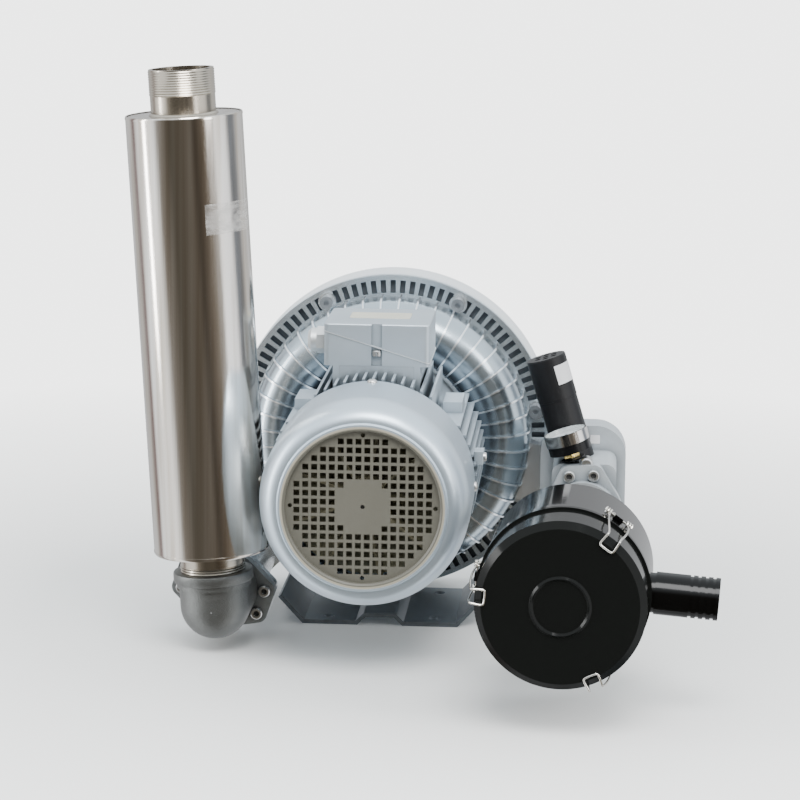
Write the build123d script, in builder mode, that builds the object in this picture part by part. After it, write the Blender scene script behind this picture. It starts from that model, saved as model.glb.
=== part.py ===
"""Side channel blower: motor, ribbed channel casing, discharge silencer and inlet filter.

Frame: millimetres, +Z up, +Y from the fan cowl towards the casing, +X to the inlet side.
The origin lies on the floor, in the middle of the foot's four bolt holes.
"""

from build123d import *
from math import atan2, cos, hypot, radians, sin, sqrt
import os

os.makedirs("parts", exist_ok=True)

# ---------------------------------------------------------------- driving dimensions
# Motor line
shaft_height = 166.0        # floor to the shaft axis
running_gap = 0.05          # radial clearance of the shaft in its bearings
seat_gap = 0.1              # radial clearance of pieces that seat in one another
cowl_front = -280.0         # y of the cowl's mouth
cowl_length = 109.0
cowl_dome = 31.0            # depth of the domed front
cowl_radius = 96.5
cowl_mouth = 78.0           # radius where the dome starts
cowl_lip = 72.0             # clear radius of the mouth
cowl_sheet = 1.5

grid_pitch = 8.0            # cooling-air grid of the guard
grid_hole = 5.4
grid_inner = 28.0
grid_outer = 64.0
guard_set_back = 4.0        # guard plate behind the mouth
guard_sheet = 1.5
guard_rim = 2.0             # rolled rim, proud of the mouth
guard_pin_hole = 2.0
guard_pin_circle = 66.0
guard_pins = 4

shield_overlap = 13.0       # cowl on the end shield
shield_rim = 16.0
shield_web = 9.0
shield_wall = 6.0

frame_length = 207.0
barrel_radius = 80.0
barrel_wall = 6.0
fin_radius = 98.0
fin_length = 165.0          # finned stretch, from the front
fin_pitch = 9.0
fin_thickness = 2.4
fins_each_side = 6
corner_block = (18.0, 15.0)
corner_block_at = (71.0, 58.0)
corner_block_start = 62.0
corner_block_length = 50.0

shaft_radius = 12.5
shaft_chamfer = 1.0
bearing_radius = 26.0
bearing_width = 15.0
rotor_radius = 44.0
rotor_length = 95.0
air_gap = 0.6
stator_start = 56.0         # stator behind the frame's front face
winding_length = 22.0
winding_gap = 6.0           # winding clear of the frame and the rotor tunnel
fan_radius = 78.0
fan_hub = 20.0
fan_start = 38.0            # fan behind the cowl's mouth
fan_depth = 34.0
fan_disc = 3.0
fan_blades = 9
fan_blade_thickness = 2.5

# Terminal box
box_width = 100.0
box_length = 95.0
box_height = 40.0
box_wall = 3.0
box_corner = 5.0
box_lid_round = 1.5
block_setback = 32.0        # terminal block behind the box front
block_size = (50.0, 9.0, 24.0)
box_start = 38.0            # behind the frame's front face
neck_width = 83.0
box_bottom = 103.0          # above the shaft axis
neck_foot = 88.0
split_left = 33.0           # lid joint above the box floor at its left and right walls
split_right = 3.0
groove_width = 10.0
groove_floor = 1.0          # metal left behind the groove
gland_setback = 26.0        # gland behind the box front
gland_rise = 20.0
gland_thread = 8.0
gland_hex = 22.5            # across flats
gland_length = 17.0
gland_inside = 6.0          # thread inside the box
gland_wall = 2.0
gland_chamfer = 3.0
cable_hole = 4.0
eye_start = 146.0           # lifting eye behind the frame's front face
eye_ring = 14.0
eye_wire = 4.0
eye_base = 8.0
eye_block = 36.0            # raised block under the eye

# Channel casing
channel_radius = 112.0      # middle of the side channel
channel_half = 27.0         # outer half width of the channel
channel_wall = 5.0
channel_straight = 36.0     # straight wall between dome and joint
ring_front = 72.0           # y of the slotted ring's front face
ring_depth = 8.0
ring_radius = 160.0
slot_inner = 142.0
slot_outer = 155.0
slot_count = 96
slot_width = 5.4
rib_count = 48
rib_height = 2.4
rib_thickness = 1.8
pad_circle = 148.0
pad_radius = 9.0
pad_height = 7.0
pad_angles = (26.5, 80.0, 133.5)
bolt_radius = 4.0
bolt_head_radius = 6.5
bolt_head_height = 8.0
bolt_length = 24.0
bolt_socket = 3.2
hub_thickness = 10.0
hub_wall = 8.0
cover_hub_radius = 61.0     # raised middle of the rear cover
frame_back_bore = 61.0
rear_straight = 18.0
shroud_radius = 161.0
shroud_sheet = 1.8
shroud_depth = 55.0
shroud_corner = 14.0

impeller_web = 6.0
impeller_reach = 15.0       # blades each side of the joint plane
impeller_gap = 1.0
impeller_hub = 30.0
blade_count = 40
blade_thickness = 2.0
nut_flats = 36.0
nut_height = 14.0

# Foot
foot_sheet = 4.0
foot_front = -68.0
foot_length = 138.0
pad_inner = 22.0
pad_outer = 76.0
foot_half = 100.0
foot_rise = 26.0            # ends above the floor
arch_half = 14.0
arch_height = 8.0
bolt_spacing_x = 104.0
bolt_spacing_y = 100.0
foot_hole = 5.5
leg_width = 26.0
leg_length = 44.0
leg_bolt_step = 9.0
foot_bolt_length = 14.0
foot_bolt_head = 5.0

# Threaded 2 inch pipe
pipe_radius = 30.15
pipe_wall = 3.6

# Outlet on the left
outlet_x = -148.0
outlet_z = -121.0           # from the shaft axis
outlet_face = -102.0        # y of the joint between duct and flange
flange_thickness = 13.0
duct_flange = 12.0          # flange cast on the outlet duct
flange_bolt_circle = 40.0
flange_bolt_angle = 17.0
flange_bolt_hole = 4.3
flange_half_width = 38.0
flange_end_radius = 10.0
flange_boss = 34.0
outlet_tilt = -18.5
duct_radius = 34.0
duct_bore = 26.0
elbow_radius = 33.0
elbow_offset = 57.0         # elbow centre in front of the flange
elbow_collar = 35.3
elbow_collar_height = 15.0
elbow_leg = 34.0
collar_round = 1.5
silencer_lean = 3.46
silencer_radius = 54.0
silencer_length = 410.0
silencer_sheet = 1.2
silencer_cap = 3.0
silencer_start = 54.0       # body above the outlet axis
stub_top = 42.0
stub_engaged = 14.0
thread_relief = 1.0         # neck between the pipe thread and the cap
perforated_wall = 1.0

# Inlet on the right
inlet_x = 197.0
inlet_z = -47.0
inlet_face = -80.0          # y of the flange's front
inlet_tilt = 93.9
neck_half = 31.0            # half width of the neck behind the flange
neck_rise = 47.0            # neck top above the inlet axis
neck_drop = 40.0
neck_length = 70.0
neck_corner = 10.0
plenum_round = 6.0          # rounding of the plenum's back edge
plenum_size = (84.0, 122.0)
plenum_side = (-2.0, 10.0)  # plenum centre beside and above the inlet axis
plenum_corner = 30.0
flange_boss_length = 12.0
inlet_swing = 2.4           # filter and nipple swing towards the motor
nipple_reach = 200.0        # flange face to the filter's back
filter_radius = 74.0
lid_depth = 55.0
can_depth = 98.0
filter_sheet = 1.2
bead_height = 2.2
bead_width = 6.0
lid_ring = 25.0
lid_press = 2.0
lid_edge = 6.0
cartridge_outer = 58.0
cartridge_inner = 36.0
cartridge_pleats = 55.0
cartridge_cap = 6.0
barb_radius = 18.75
barb_bore = 15.0
barb_setback = 28.0         # barb axis behind the lid joint
barb_length = 60.0
barb_droop = 4.0
barb_ridges = 4
barb_pitch = 6.5
barb_groove = 1.2           # depth of the neck and of the grooves between ridges
barb_land = 4.0             # width of a ridge
barb_neck = 4.0             # plain neck beside the canister
clip_angles = (35.5, 155.5, 275.5)
clip_wire = 1.1
clip_setback = 14.0         # pivot behind the lid joint
clip_hook = 12.0
clip_width = 15.0

# Relief valve and gauge on the plenum
valve_x = 186.0
valve_y = -17.0
valve_lean = 17.0
valve_radius = 19.0
valve_height = 100.0
valve_bore = 15.5
valve_seat = 9.0
valve_roof = 4.0
vent_count = 6
vent_radius = 3.0
vent_circle = 9.3
rest_gap = 0.3              # gap between pieces that only rest on one another
poppet_radius = 14.5
poppet_thickness = 5.0
poppet_stem = 22.0
poppet_stem_radius = 2.4
spring_coils = 5
spring_radius = 9.0
spring_wire = 1.2
gauge_radius = 21.5
gauge_case_depth = 9.0
gauge_bezel_depth = 11.0
gauge_rise = 12.0           # stem between neck and case
gauge_x = 187.0
gauge_setback = 7.17        # stem behind the front of the neck
case_step = 1.0             # case inside the bezel's edge
stem_radius = 5.5
stem_hex_at = 2.0
stem_hex = 6.0
stem_flats = 14.3
bezel_wall = 1.5
dial_depth = 5.0            # dial below the bezel's edge
glass_thickness = 1.5
pointer_gap = 0.6
pointer_thickness = 0.8
pivot_radius = 1.5
pointer_reach = 17.0
pointer_tail = 4.5

# ---------------------------------------------------------------- shared planes and shapes
quarter_turn = 90                                   # arc of a dome or a bend
cowl_back = cowl_front + cowl_length
frame_front = cowl_back + shield_rim - shield_overlap
frame_back = frame_front + frame_length
joint_y = ring_front + ring_depth                   # joint of casing and rear cover
dome_y = joint_y - channel_straight                 # centre of the front channel dome
hub_front = frame_back
hub_back = hub_front + hub_thickness


def facing(y):
    """Plane square to the shaft at y, seen from the cowl: x right, y up."""
    return Plane(origin=(0, y, shaft_height), x_dir=(1, 0, 0), z_dir=(0, -1, 0))


def port_plane(x, y, z, turn=0):
    """Plane square to a port axis that is parallel to the shaft, turned about that axis."""
    angle = radians(turn)
    return Plane(origin=(x, y, shaft_height + z), x_dir=(cos(angle), 0, sin(angle)), z_dir=(0, -1, 0))


def line_plane(x, z, y=0):
    """Plane through an axis parallel to the shaft: x along the axis, y outwards and up."""
    return Plane(origin=(x, y, shaft_height + z), x_dir=(0, 1, 0), z_dir=(1, 0, 0))


def leaning_plane(x, y, z, lean):
    """Plane through an axis that rises to the left by lean degrees: x along it."""
    angle = radians(lean)
    return Plane(origin=(x, y, shaft_height + z), x_dir=(-sin(angle), 0, cos(angle)), z_dir=(0, -1, 0))


def turned(plane, *points):
    """A closed profile of (along, radius) points, turned about the plane's x axis."""
    with BuildSketch(plane) as profile:
        with BuildLine():
            Polyline(*points, close=True)
        make_face()
    revolve(profile.sketch, axis=Axis(plane.origin, plane.x_dir))


def tube(plane, start, end, outer, inner=0, mode=Mode.ADD):
    """A straight tube or rod along the plane's x axis."""
    with BuildSketch(plane) as profile:
        with BuildLine():
            Polyline((start, inner), (end, inner), (end, outer), (start, outer), close=True)
        make_face()
    revolve(profile.sketch, axis=Axis(plane.origin, plane.x_dir), mode=mode)


def finish(builder, name):
    """Label a finished piece and write it out."""
    builder.part.label = name
    export_step(builder.part, f"parts/{name}.step")


shaft_line = line_plane(0, 0)
shaft_axis = Axis(shaft_line.origin, shaft_line.x_dir)

# ---------------------------------------------------------------- fan cowl
dome_end = cowl_front + cowl_dome
cowl_inner = cowl_radius - cowl_sheet
with BuildPart() as fan_cowl:
    with BuildSketch(shaft_line):
        with BuildLine():
            EllipticalCenterArc(
                (dome_end, cowl_mouth),
                cowl_dome,
                cowl_radius - cowl_mouth,
                start_angle=quarter_turn,
                arc_size=quarter_turn,
            )
            Line((dome_end, cowl_radius), (cowl_back, cowl_radius))
            Line((cowl_back, cowl_radius), (cowl_back, cowl_inner))
            Line((cowl_back, cowl_inner), (dome_end, cowl_inner))
            EllipticalCenterArc(
                (dome_end, cowl_mouth),
                cowl_dome - cowl_sheet,
                cowl_inner - cowl_mouth,
                start_angle=quarter_turn,
                arc_size=quarter_turn,
            )
            Line((cowl_front + cowl_sheet, cowl_mouth), (cowl_front + cowl_sheet, cowl_lip))
            Line((cowl_front + cowl_sheet, cowl_lip), (cowl_front, cowl_lip))
            Line((cowl_front, cowl_lip), (cowl_front, cowl_mouth))
        make_face()
    revolve(axis=shaft_axis)
finish(fan_cowl, "fan_cowl")

# ---------------------------------------------------------------- fan guard
guard_plate = cowl_front + guard_set_back
guard_radius = cowl_lip - seat_gap
with BuildPart() as fan_guard:
    turned(
        shaft_line,
        (guard_plate, 0),
        (guard_plate, guard_radius - guard_sheet),
        (cowl_front - guard_rim + guard_sheet, guard_radius - guard_sheet),
        (cowl_front - guard_rim, guard_radius),
        (cowl_front - guard_rim, cowl_mouth - guard_sheet),
        (cowl_front, cowl_mouth),
        (cowl_front, guard_radius),
        (guard_plate + guard_sheet, guard_radius),
        (guard_plate + guard_sheet, 0),
    )
    half_count = int(grid_outer / grid_pitch) + 1
    steps = [(n + 0.5) * grid_pitch for n in range(-half_count, half_count)]
    grid_points = [(x, z) for x in steps for z in steps if grid_inner <= hypot(x, z) <= grid_outer]
    with BuildSketch(facing(guard_plate)):
        with Locations(*grid_points):
            Rectangle(grid_hole, grid_hole)
        with PolarLocations(guard_pin_circle, guard_pins):
            Circle(guard_pin_hole)
        Circle(guard_pin_hole)
    extrude(amount=-guard_sheet, mode=Mode.SUBTRACT)
finish(fan_guard, "fan_guard")

# ---------------------------------------------------------------- end shield
shield_front = cowl_back - shield_overlap
shield_radius = cowl_inner - seat_gap
front_bearing_y = frame_front - bearing_width
with BuildPart() as end_shield:
    tube(shaft_line, shield_front, frame_front, shield_radius, shield_radius - shield_wall)
    tube(shaft_line, frame_front - shield_web, frame_front, shield_radius, bearing_radius + seat_gap)
    tube(
        shaft_line,
        front_bearing_y,
        frame_front,
        bearing_radius + seat_gap + shield_wall,
        bearing_radius + seat_gap,
    )
finish(end_shield, "end_shield")

# ---------------------------------------------------------------- motor frame
pad_start = frame_front + box_start
barrel_bore = barrel_radius - barrel_wall
with BuildPart() as motor_frame:
    with BuildSketch(facing(frame_front)):
        Circle(barrel_radius)
        for k in range(-fins_each_side, fins_each_side + 1):
            fin_tip = sqrt(fin_radius**2 - (k * fin_pitch) ** 2)
            with PolarLocations(0, 4):
                with Locations((fin_tip / 2, k * fin_pitch)):
                    Rectangle(fin_tip, fin_thickness)
    extrude(amount=-fin_length)
    tube(shaft_line, frame_front, frame_back, barrel_radius)
    with BuildSketch(facing(frame_front + corner_block_start)):
        for side_x in (-1, 1):
            for side_z in (-1, 1):
                with Locations((side_x * corner_block_at[0], side_z * corner_block_at[1])):
                    Rectangle(*corner_block)
    extrude(amount=-corner_block_length)
    with BuildSketch(facing(pad_start)):
        with Locations((0, neck_foot)):
            Rectangle(box_width, fin_radius - neck_foot, align=(Align.CENTER, Align.MIN))
    extrude(amount=-(box_length + fin_pitch), mode=Mode.SUBTRACT)
    with BuildSketch(facing(pad_start)):
        Rectangle(neck_width, neck_foot, align=(Align.CENTER, Align.MIN))
    extrude(amount=-box_length)
    with BuildSketch(facing(frame_front + eye_start)):
        Rectangle(eye_block, fin_radius, align=(Align.CENTER, Align.MIN))
    extrude(amount=-(fin_length - eye_start))
    tube(shaft_line, frame_front, frame_back, barrel_bore, mode=Mode.SUBTRACT)
    tube(shaft_line, frame_back - shield_web, frame_back, barrel_radius, frame_back_bore)
finish(motor_frame, "motor_frame")

# ---------------------------------------------------------------- stator and windings
stator_front = frame_front + stator_start
stator_back = stator_front + rotor_length
stator_bore = rotor_radius + air_gap
winding_outer = barrel_bore - winding_gap
with BuildPart() as stator_core:
    tube(shaft_line, stator_front, stator_back, barrel_bore - seat_gap, stator_bore)
finish(stator_core, "stator_core")

for winding_y, winding_name in (
    (stator_front - winding_length, "front_winding"),
    (stator_back, "rear_winding"),
):
    with BuildPart() as winding:
        tube(shaft_line, winding_y, winding_y + winding_length, winding_outer, stator_bore + winding_gap)
    finish(winding, winding_name)

# ---------------------------------------------------------------- shaft, rotor, bearings
shaft_front = cowl_front + fan_start - seat_gap
rear_bearing_y = hub_back - bearing_width
impeller_back = joint_y + impeller_reach
nut_back = impeller_back + nut_height
with BuildPart() as shaft:
    tube(shaft_line, shaft_front, nut_back, shaft_radius)
    chamfer(shaft.edges().filter_by(GeomType.CIRCLE), shaft_chamfer)
finish(shaft, "shaft")

with BuildPart() as rotor_core:
    tube(shaft_line, stator_front, stator_back, rotor_radius, shaft_radius)
finish(rotor_core, "rotor_core")

for bearing_y, bearing_name in ((front_bearing_y, "front_bearing"), (rear_bearing_y, "rear_bearing")):
    with BuildPart() as bearing:
        tube(
            shaft_line,
            bearing_y,
            bearing_y + bearing_width,
            bearing_radius,
            shaft_radius + running_gap,
        )
    finish(bearing, bearing_name)

# ---------------------------------------------------------------- cooling fan
fan_front = cowl_front + fan_start
with BuildPart() as cooling_fan:
    tube(shaft_line, fan_front, fan_front + fan_depth, fan_hub, shaft_radius)
    tube(shaft_line, fan_front + fan_depth - fan_disc, fan_front + fan_depth, fan_radius, shaft_radius)
    with BuildSketch(facing(fan_front)):
        with PolarLocations(0, fan_blades):
            with Locations(((fan_hub + fan_radius) / 2, 0)):
                Rectangle(fan_radius - fan_hub + fan_disc, fan_blade_thickness)
        Circle(fan_radius, mode=Mode.INTERSECT)
        Circle((fan_hub + shaft_radius) / 2, mode=Mode.SUBTRACT)
    extrude(amount=-fan_depth)
finish(cooling_fan, "cooling_fan")

# ---------------------------------------------------------------- terminal box and lid
box_floor = box_bottom
box_plane = Plane(origin=(0, pad_start, shaft_height + box_floor), x_dir=(1, 0, 0), z_dir=(0, -1, 0))
split_slope = atan2(split_left - split_right, box_width)
split_plane = Plane(
    origin=(-box_width / 2, pad_start, shaft_height + box_floor + split_left),
    x_dir=(cos(split_slope), 0, -sin(split_slope)),
    z_dir=(sin(split_slope), 0, cos(split_slope)),
)
gland_y = pad_start + gland_setback
gland_height = shaft_height + box_floor + gland_rise
gland_line = Plane(
    origin=(-box_width / 2, gland_y, gland_height), x_dir=(-1, 0, 0), z_dir=(0, -1, 0)
)

with BuildPart() as terminal_box:
    with BuildSketch(box_plane):
        Rectangle(box_width, box_height, align=(Align.CENTER, Align.MIN))
    extrude(amount=-box_length)
    fillet(terminal_box.edges().filter_by(Axis.Z), box_corner)
    with BuildSketch(box_plane.offset(-box_wall)):
        with Locations((0, box_wall)):
            Rectangle(
                box_width - 2 * box_wall, box_height - 2 * box_wall, align=(Align.CENTER, Align.MIN)
            )
    extrude(amount=-(box_length - 2 * box_wall), mode=Mode.SUBTRACT)
    split(bisect_by=split_plane, keep=Keep.BOTTOM)
    with BuildSketch(box_plane):
        SlotCenterToCenter(box_height, groove_width, rotation=90)
    extrude(amount=-(box_wall - groove_floor), mode=Mode.SUBTRACT)
    with BuildSketch(Plane(box_plane.origin, x_dir=(1, 0, 0), z_dir=(0, 0, -1))):
        Rectangle(neck_width, box_length, align=(Align.CENTER, Align.MAX))
        Rectangle(
            neck_width - 4 * box_wall,
            box_length - 4 * box_wall,
            align=(Align.CENTER, Align.MAX),
            mode=Mode.SUBTRACT,
        )
    extrude(amount=box_bottom - neck_foot)
    tube(gland_line, -box_wall, 0, gland_thread, mode=Mode.SUBTRACT)
finish(terminal_box, "terminal_box")

with BuildPart() as terminal_lid:
    with BuildSketch(box_plane):
        Rectangle(box_width, box_height, align=(Align.CENTER, Align.MIN))
    extrude(amount=-box_length)
    fillet(terminal_lid.edges().filter_by(Axis.Z), box_corner)
    fillet(terminal_lid.faces().sort_by(Axis.Z)[-1].edges(), box_lid_round)
    with BuildSketch(box_plane.offset(-box_wall)):
        with Locations((0, box_wall)):
            Rectangle(
                box_width - 2 * box_wall, box_height - 2 * box_wall, align=(Align.CENTER, Align.MIN)
            )
    extrude(amount=-(box_length - 2 * box_wall), mode=Mode.SUBTRACT)
    split(bisect_by=split_plane, keep=Keep.TOP)
    with BuildSketch(box_plane):
        with Locations((0, box_height)):
            SlotCenterToCenter(box_height, groove_width, rotation=90)
    extrude(amount=-(box_wall - groove_floor), mode=Mode.SUBTRACT)
finish(terminal_lid, "terminal_lid")

with BuildPart() as terminal_block:
    with BuildSketch(box_plane.offset(-block_setback)):
        with Locations((0, box_wall)):
            Rectangle(block_size[0], block_size[1], align=(Align.CENTER, Align.MIN))
    extrude(amount=-block_size[2])
finish(terminal_block, "terminal_block")

gland_nut_length = gland_length / 2
with BuildPart() as cable_gland:
    tube(gland_line, -gland_inside, gland_nut_length, gland_thread - seat_gap, gland_thread - gland_wall)
    with BuildSketch(Plane(gland_line.origin, x_dir=(0, 0, 1), z_dir=(-1, 0, 0))):
        RegularPolygon(gland_hex / 2, 6, major_radius=False)
        Circle(gland_thread - gland_wall, mode=Mode.SUBTRACT)
    extrude(amount=gland_nut_length)
finish(cable_gland, "cable_gland")

with BuildPart() as gland_cap:
    turned(
        gland_line,
        (gland_nut_length, cable_hole),
        (gland_nut_length, gland_hex / 2),
        (gland_length - gland_chamfer, gland_hex / 2),
        (gland_length, gland_hex / 2 - gland_chamfer),
        (gland_length, cable_hole),
    )
finish(gland_cap, "gland_cap")

# ---------------------------------------------------------------- lifting eye
eye_y = frame_front + (eye_start + fin_length) / 2
eye_centre = fin_radius + eye_ring + eye_wire
with BuildPart() as lifting_eye:
    ring_plane = Plane(
        origin=(0, eye_y, shaft_height + eye_centre), x_dir=(1, 0, 0), z_dir=(0, -1, 0)
    )
    with BuildSketch(Plane(ring_plane.origin, x_dir=(1, 0, 0), z_dir=(0, 0, 1))):
        with Locations((eye_ring, 0)):
            Circle(eye_wire)
    revolve(axis=Axis(ring_plane.origin, (0, 1, 0)))
    with BuildSketch(Plane.XY.offset(shaft_height + fin_radius)):
        with Locations((0, eye_y)):
            Circle(eye_base)
    extrude(amount=eye_wire)
finish(lifting_eye, "lifting_eye")

# ---------------------------------------------------------------- channel casing
channel_outer = channel_radius + channel_half
channel_root = channel_radius - channel_half
channel_bore = channel_half - channel_wall
lug_front = dome_y
web_clear = impeller_web / 2 + impeller_gap
duct_back = joint_y - channel_wall


def channel_section(half, middle_y, end_y):
    """Half of the side channel as a face in the shaft plane, domed at middle_y, flat at end_y."""
    side = 1 if middle_y > end_y else -1
    with BuildSketch(shaft_line) as section:
        with BuildLine():
            Line((end_y, channel_radius - half), (middle_y, channel_radius - half))
            ThreePointArc(
                (middle_y, channel_radius - half),
                (middle_y + side * half, channel_radius),
                (middle_y, channel_radius + half),
            )
            Line((middle_y, channel_radius + half), (end_y, channel_radius + half))
            Line((end_y, channel_radius + half), (end_y, channel_radius - half))
        make_face()
    return section.sketch


def lug_outline(x, z, port, channel, y):
    """Tangent outline from a port circle to a circle on the side channel."""
    reach = channel_radius / hypot(x, z)
    with BuildSketch(facing(y)) as outline:
        with Locations((x, z)):
            Circle(port)
        with Locations((x * reach, z * reach)):
            Circle(channel)
        make_hull()
    return outline.sketch


def flange_outline(plane, bore):
    """Rounded rhombus with a pair of bolt holes at each end."""
    with BuildSketch(plane) as outline:
        with BuildSketch(mode=Mode.PRIVATE) as corners:
            for side in (0, 180):
                for turn in (-flange_bolt_angle, flange_bolt_angle):
                    with Locations(Location((0, 0, 0), (0, 0, side + turn))):
                        with Locations((flange_bolt_circle, 0)):
                            Circle(flange_end_radius)
            Circle(flange_half_width)
            make_hull()
        add(corners.sketch)
        for side in (0, 180):
            for turn in (-flange_bolt_angle, flange_bolt_angle):
                with Locations(Location((0, 0, 0), (0, 0, side + turn))):
                    with Locations((flange_bolt_circle, 0)):
                        Circle(flange_bolt_hole, mode=Mode.SUBTRACT)
        Circle(bore, mode=Mode.SUBTRACT)
    return outline.sketch


leg_middle = joint_y - (leg_length + ring_depth) / 2
leg_bolt_places = [(0, leg_middle - leg_bolt_step), (0, leg_middle + leg_bolt_step)]
outlet_plane = port_plane(outlet_x, outlet_face, outlet_z, outlet_tilt)
outlet_line = line_plane(outlet_x, outlet_z)
inlet_duct = line_plane(inlet_x, inlet_z)
inlet_line = Plane(
    origin=(inlet_x, inlet_face, shaft_height + inlet_z),
    x_dir=(sin(radians(inlet_swing)), cos(radians(inlet_swing)), 0),
    z_dir=(cos(radians(inlet_swing)), -sin(radians(inlet_swing)), 0),
)
bolt_places = [
    (side * pad_circle * sin(radians(angle)), pad_circle * cos(radians(angle)))
    for angle in pad_angles
    for side in (1, -1)
]

with BuildPart() as rib:
    extrude(
        channel_section(channel_half + rib_height, dome_y, joint_y), amount=rib_thickness / 2, both=True
    )

with BuildPart() as channel_casing:
    revolve(channel_section(channel_half, dome_y, joint_y), axis=shaft_axis)
    add([rib.part.rotate(shaft_axis, (k + 0.5) * 360 / rib_count) for k in range(rib_count)])
    with BuildSketch(facing(ring_front)):
        Circle(ring_radius)
        Circle(channel_outer - channel_wall, mode=Mode.SUBTRACT)
        with PolarLocations((slot_inner + slot_outer) / 2, slot_count):
            Rectangle(slot_outer - slot_inner, slot_width, mode=Mode.SUBTRACT)
    extrude(amount=-ring_depth)
    with BuildSketch(facing(ring_front - pad_height)):
        with Locations(*bolt_places):
            Circle(pad_radius)
    extrude(amount=-(pad_height + ring_depth))
    tube(shaft_line, hub_front, hub_back, channel_root + channel_wall / 2, bearing_radius)
    tube(shaft_line, hub_back - bearing_width, hub_back, bearing_radius + hub_wall, bearing_radius)
    for port_x, port_z in ((outlet_x, outlet_z), (inlet_x, inlet_z)):
        extrude(lug_outline(port_x, port_z, duct_radius, channel_half, lug_front), amount=-channel_straight)
    tube(outlet_line, outlet_face, lug_front, duct_radius)
    extrude(flange_outline(outlet_plane, duct_bore), amount=-duct_flange)
    with BuildSketch(facing(joint_y - leg_length)):
        with Locations((0, -channel_outer)):
            Rectangle(2 * leg_width, 2 * (shaft_height - channel_outer - arch_height - foot_sheet))
    extrude(amount=-(leg_length - ring_depth))
    revolve(channel_section(channel_bore, dome_y, joint_y), axis=shaft_axis, mode=Mode.SUBTRACT)
    for port_x, port_z in ((outlet_x, outlet_z), (inlet_x, inlet_z)):
        extrude(
            lug_outline(port_x, port_z, duct_bore, channel_bore - channel_wall, lug_front + channel_wall),
            amount=-(channel_straight - 2 * channel_wall),
            mode=Mode.SUBTRACT,
        )
    tube(outlet_line, outlet_face, duct_back, duct_bore, mode=Mode.SUBTRACT)
    tube(inlet_duct, lug_front, duct_back, duct_bore, mode=Mode.SUBTRACT)
    tube(
        shaft_line,
        joint_y - web_clear,
        joint_y,
        channel_radius,
        channel_root - rib_height - seat_gap,
        mode=Mode.SUBTRACT,
    )
    tube(shaft_line, hub_front - bearing_width, joint_y, bearing_radius + seat_gap, mode=Mode.SUBTRACT)
    with BuildSketch(facing(ring_front - pad_height)):
        with Locations(*bolt_places):
            Circle(bolt_radius + seat_gap)
    extrude(amount=-(pad_height + ring_depth), mode=Mode.SUBTRACT)
    with BuildSketch(Plane.XY.offset(arch_height + foot_sheet)):
        with Locations(*leg_bolt_places):
            Circle(bolt_radius + seat_gap)
    extrude(amount=foot_bolt_length - foot_sheet, mode=Mode.SUBTRACT)
finish(channel_casing, "channel_casing")

# ---------------------------------------------------------------- rear cover and shroud
rear_dome_y = joint_y + rear_straight
shroud_back = joint_y + shroud_depth
shroud_inner = shroud_radius - shroud_sheet
cover_hub = nut_back + impeller_gap + channel_wall
with BuildPart() as rear_cover:
    revolve(channel_section(channel_half, rear_dome_y, joint_y), axis=shaft_axis)
    tube(shaft_line, joint_y, joint_y + ring_depth, shroud_inner - seat_gap, channel_radius)
    revolve(channel_section(channel_bore, rear_dome_y, joint_y), axis=shaft_axis, mode=Mode.SUBTRACT)
    tube(
        shaft_line,
        joint_y,
        joint_y + web_clear,
        channel_radius,
        channel_root - seat_gap,
        mode=Mode.SUBTRACT,
    )
    turned(
        shaft_line,
        (rear_dome_y, channel_root + channel_wall),
        (cover_hub, cover_hub_radius),
        (cover_hub, 0),
        (cover_hub - channel_wall, 0),
        (cover_hub - channel_wall, cover_hub_radius - channel_wall / 2),
        (rear_dome_y - channel_wall, channel_root),
    )
    with BuildSketch(facing(joint_y)):
        with Locations(*bolt_places):
            Circle(bolt_radius + seat_gap)
    extrude(amount=-(ring_depth + channel_wall), mode=Mode.SUBTRACT)
finish(rear_cover, "rear_cover")

with BuildPart() as rear_shroud:
    tube(shaft_line, joint_y, shroud_back, shroud_radius)
    fillet(rear_shroud.edges().filter_by(GeomType.CIRCLE).sort_by(Axis.Y)[-1], shroud_corner)
    offset(amount=-shroud_sheet, openings=rear_shroud.faces().sort_by(Axis.Y)[0])
finish(rear_shroud, "rear_shroud")

# ---------------------------------------------------------------- impeller and its nut
with BuildPart() as impeller:
    tube(
        shaft_line,
        joint_y - impeller_web / 2,
        joint_y + impeller_web / 2,
        channel_radius + channel_bore - impeller_gap,
    )
    tube(shaft_line, hub_back + impeller_gap, impeller_back, impeller_hub)
    with BuildSketch(facing(joint_y - impeller_reach)):
        with PolarLocations(channel_radius, blade_count):
            Rectangle(2 * (channel_bore - impeller_gap), blade_thickness)
    extrude(amount=-2 * impeller_reach)
    tube(shaft_line, hub_back, impeller_back, shaft_radius, mode=Mode.SUBTRACT)
finish(impeller, "impeller")

with BuildPart() as impeller_nut:
    with BuildSketch(facing(impeller_back)):
        RegularPolygon(nut_flats / 2, 6, major_radius=False)
        Circle(shaft_radius, mode=Mode.SUBTRACT)
    extrude(amount=-nut_height)
finish(impeller_nut, "impeller_nut")

# ---------------------------------------------------------------- casing bolts
for number, (bolt_x, bolt_z) in enumerate(bolt_places, start=1):
    bolt_line = line_plane(bolt_x, bolt_z, ring_front - pad_height)
    with BuildPart() as casing_bolt:
        tube(bolt_line, 0, bolt_length, bolt_radius)
        tube(bolt_line, -bolt_head_height, 0, bolt_head_radius)
        with BuildSketch(facing(ring_front - pad_height - bolt_head_height)):
            with Locations((bolt_x, bolt_z)):
                RegularPolygon(bolt_socket, 6)
        extrude(amount=-bolt_radius, mode=Mode.SUBTRACT)
    finish(casing_bolt, f"casing_bolt_{number}")

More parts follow.
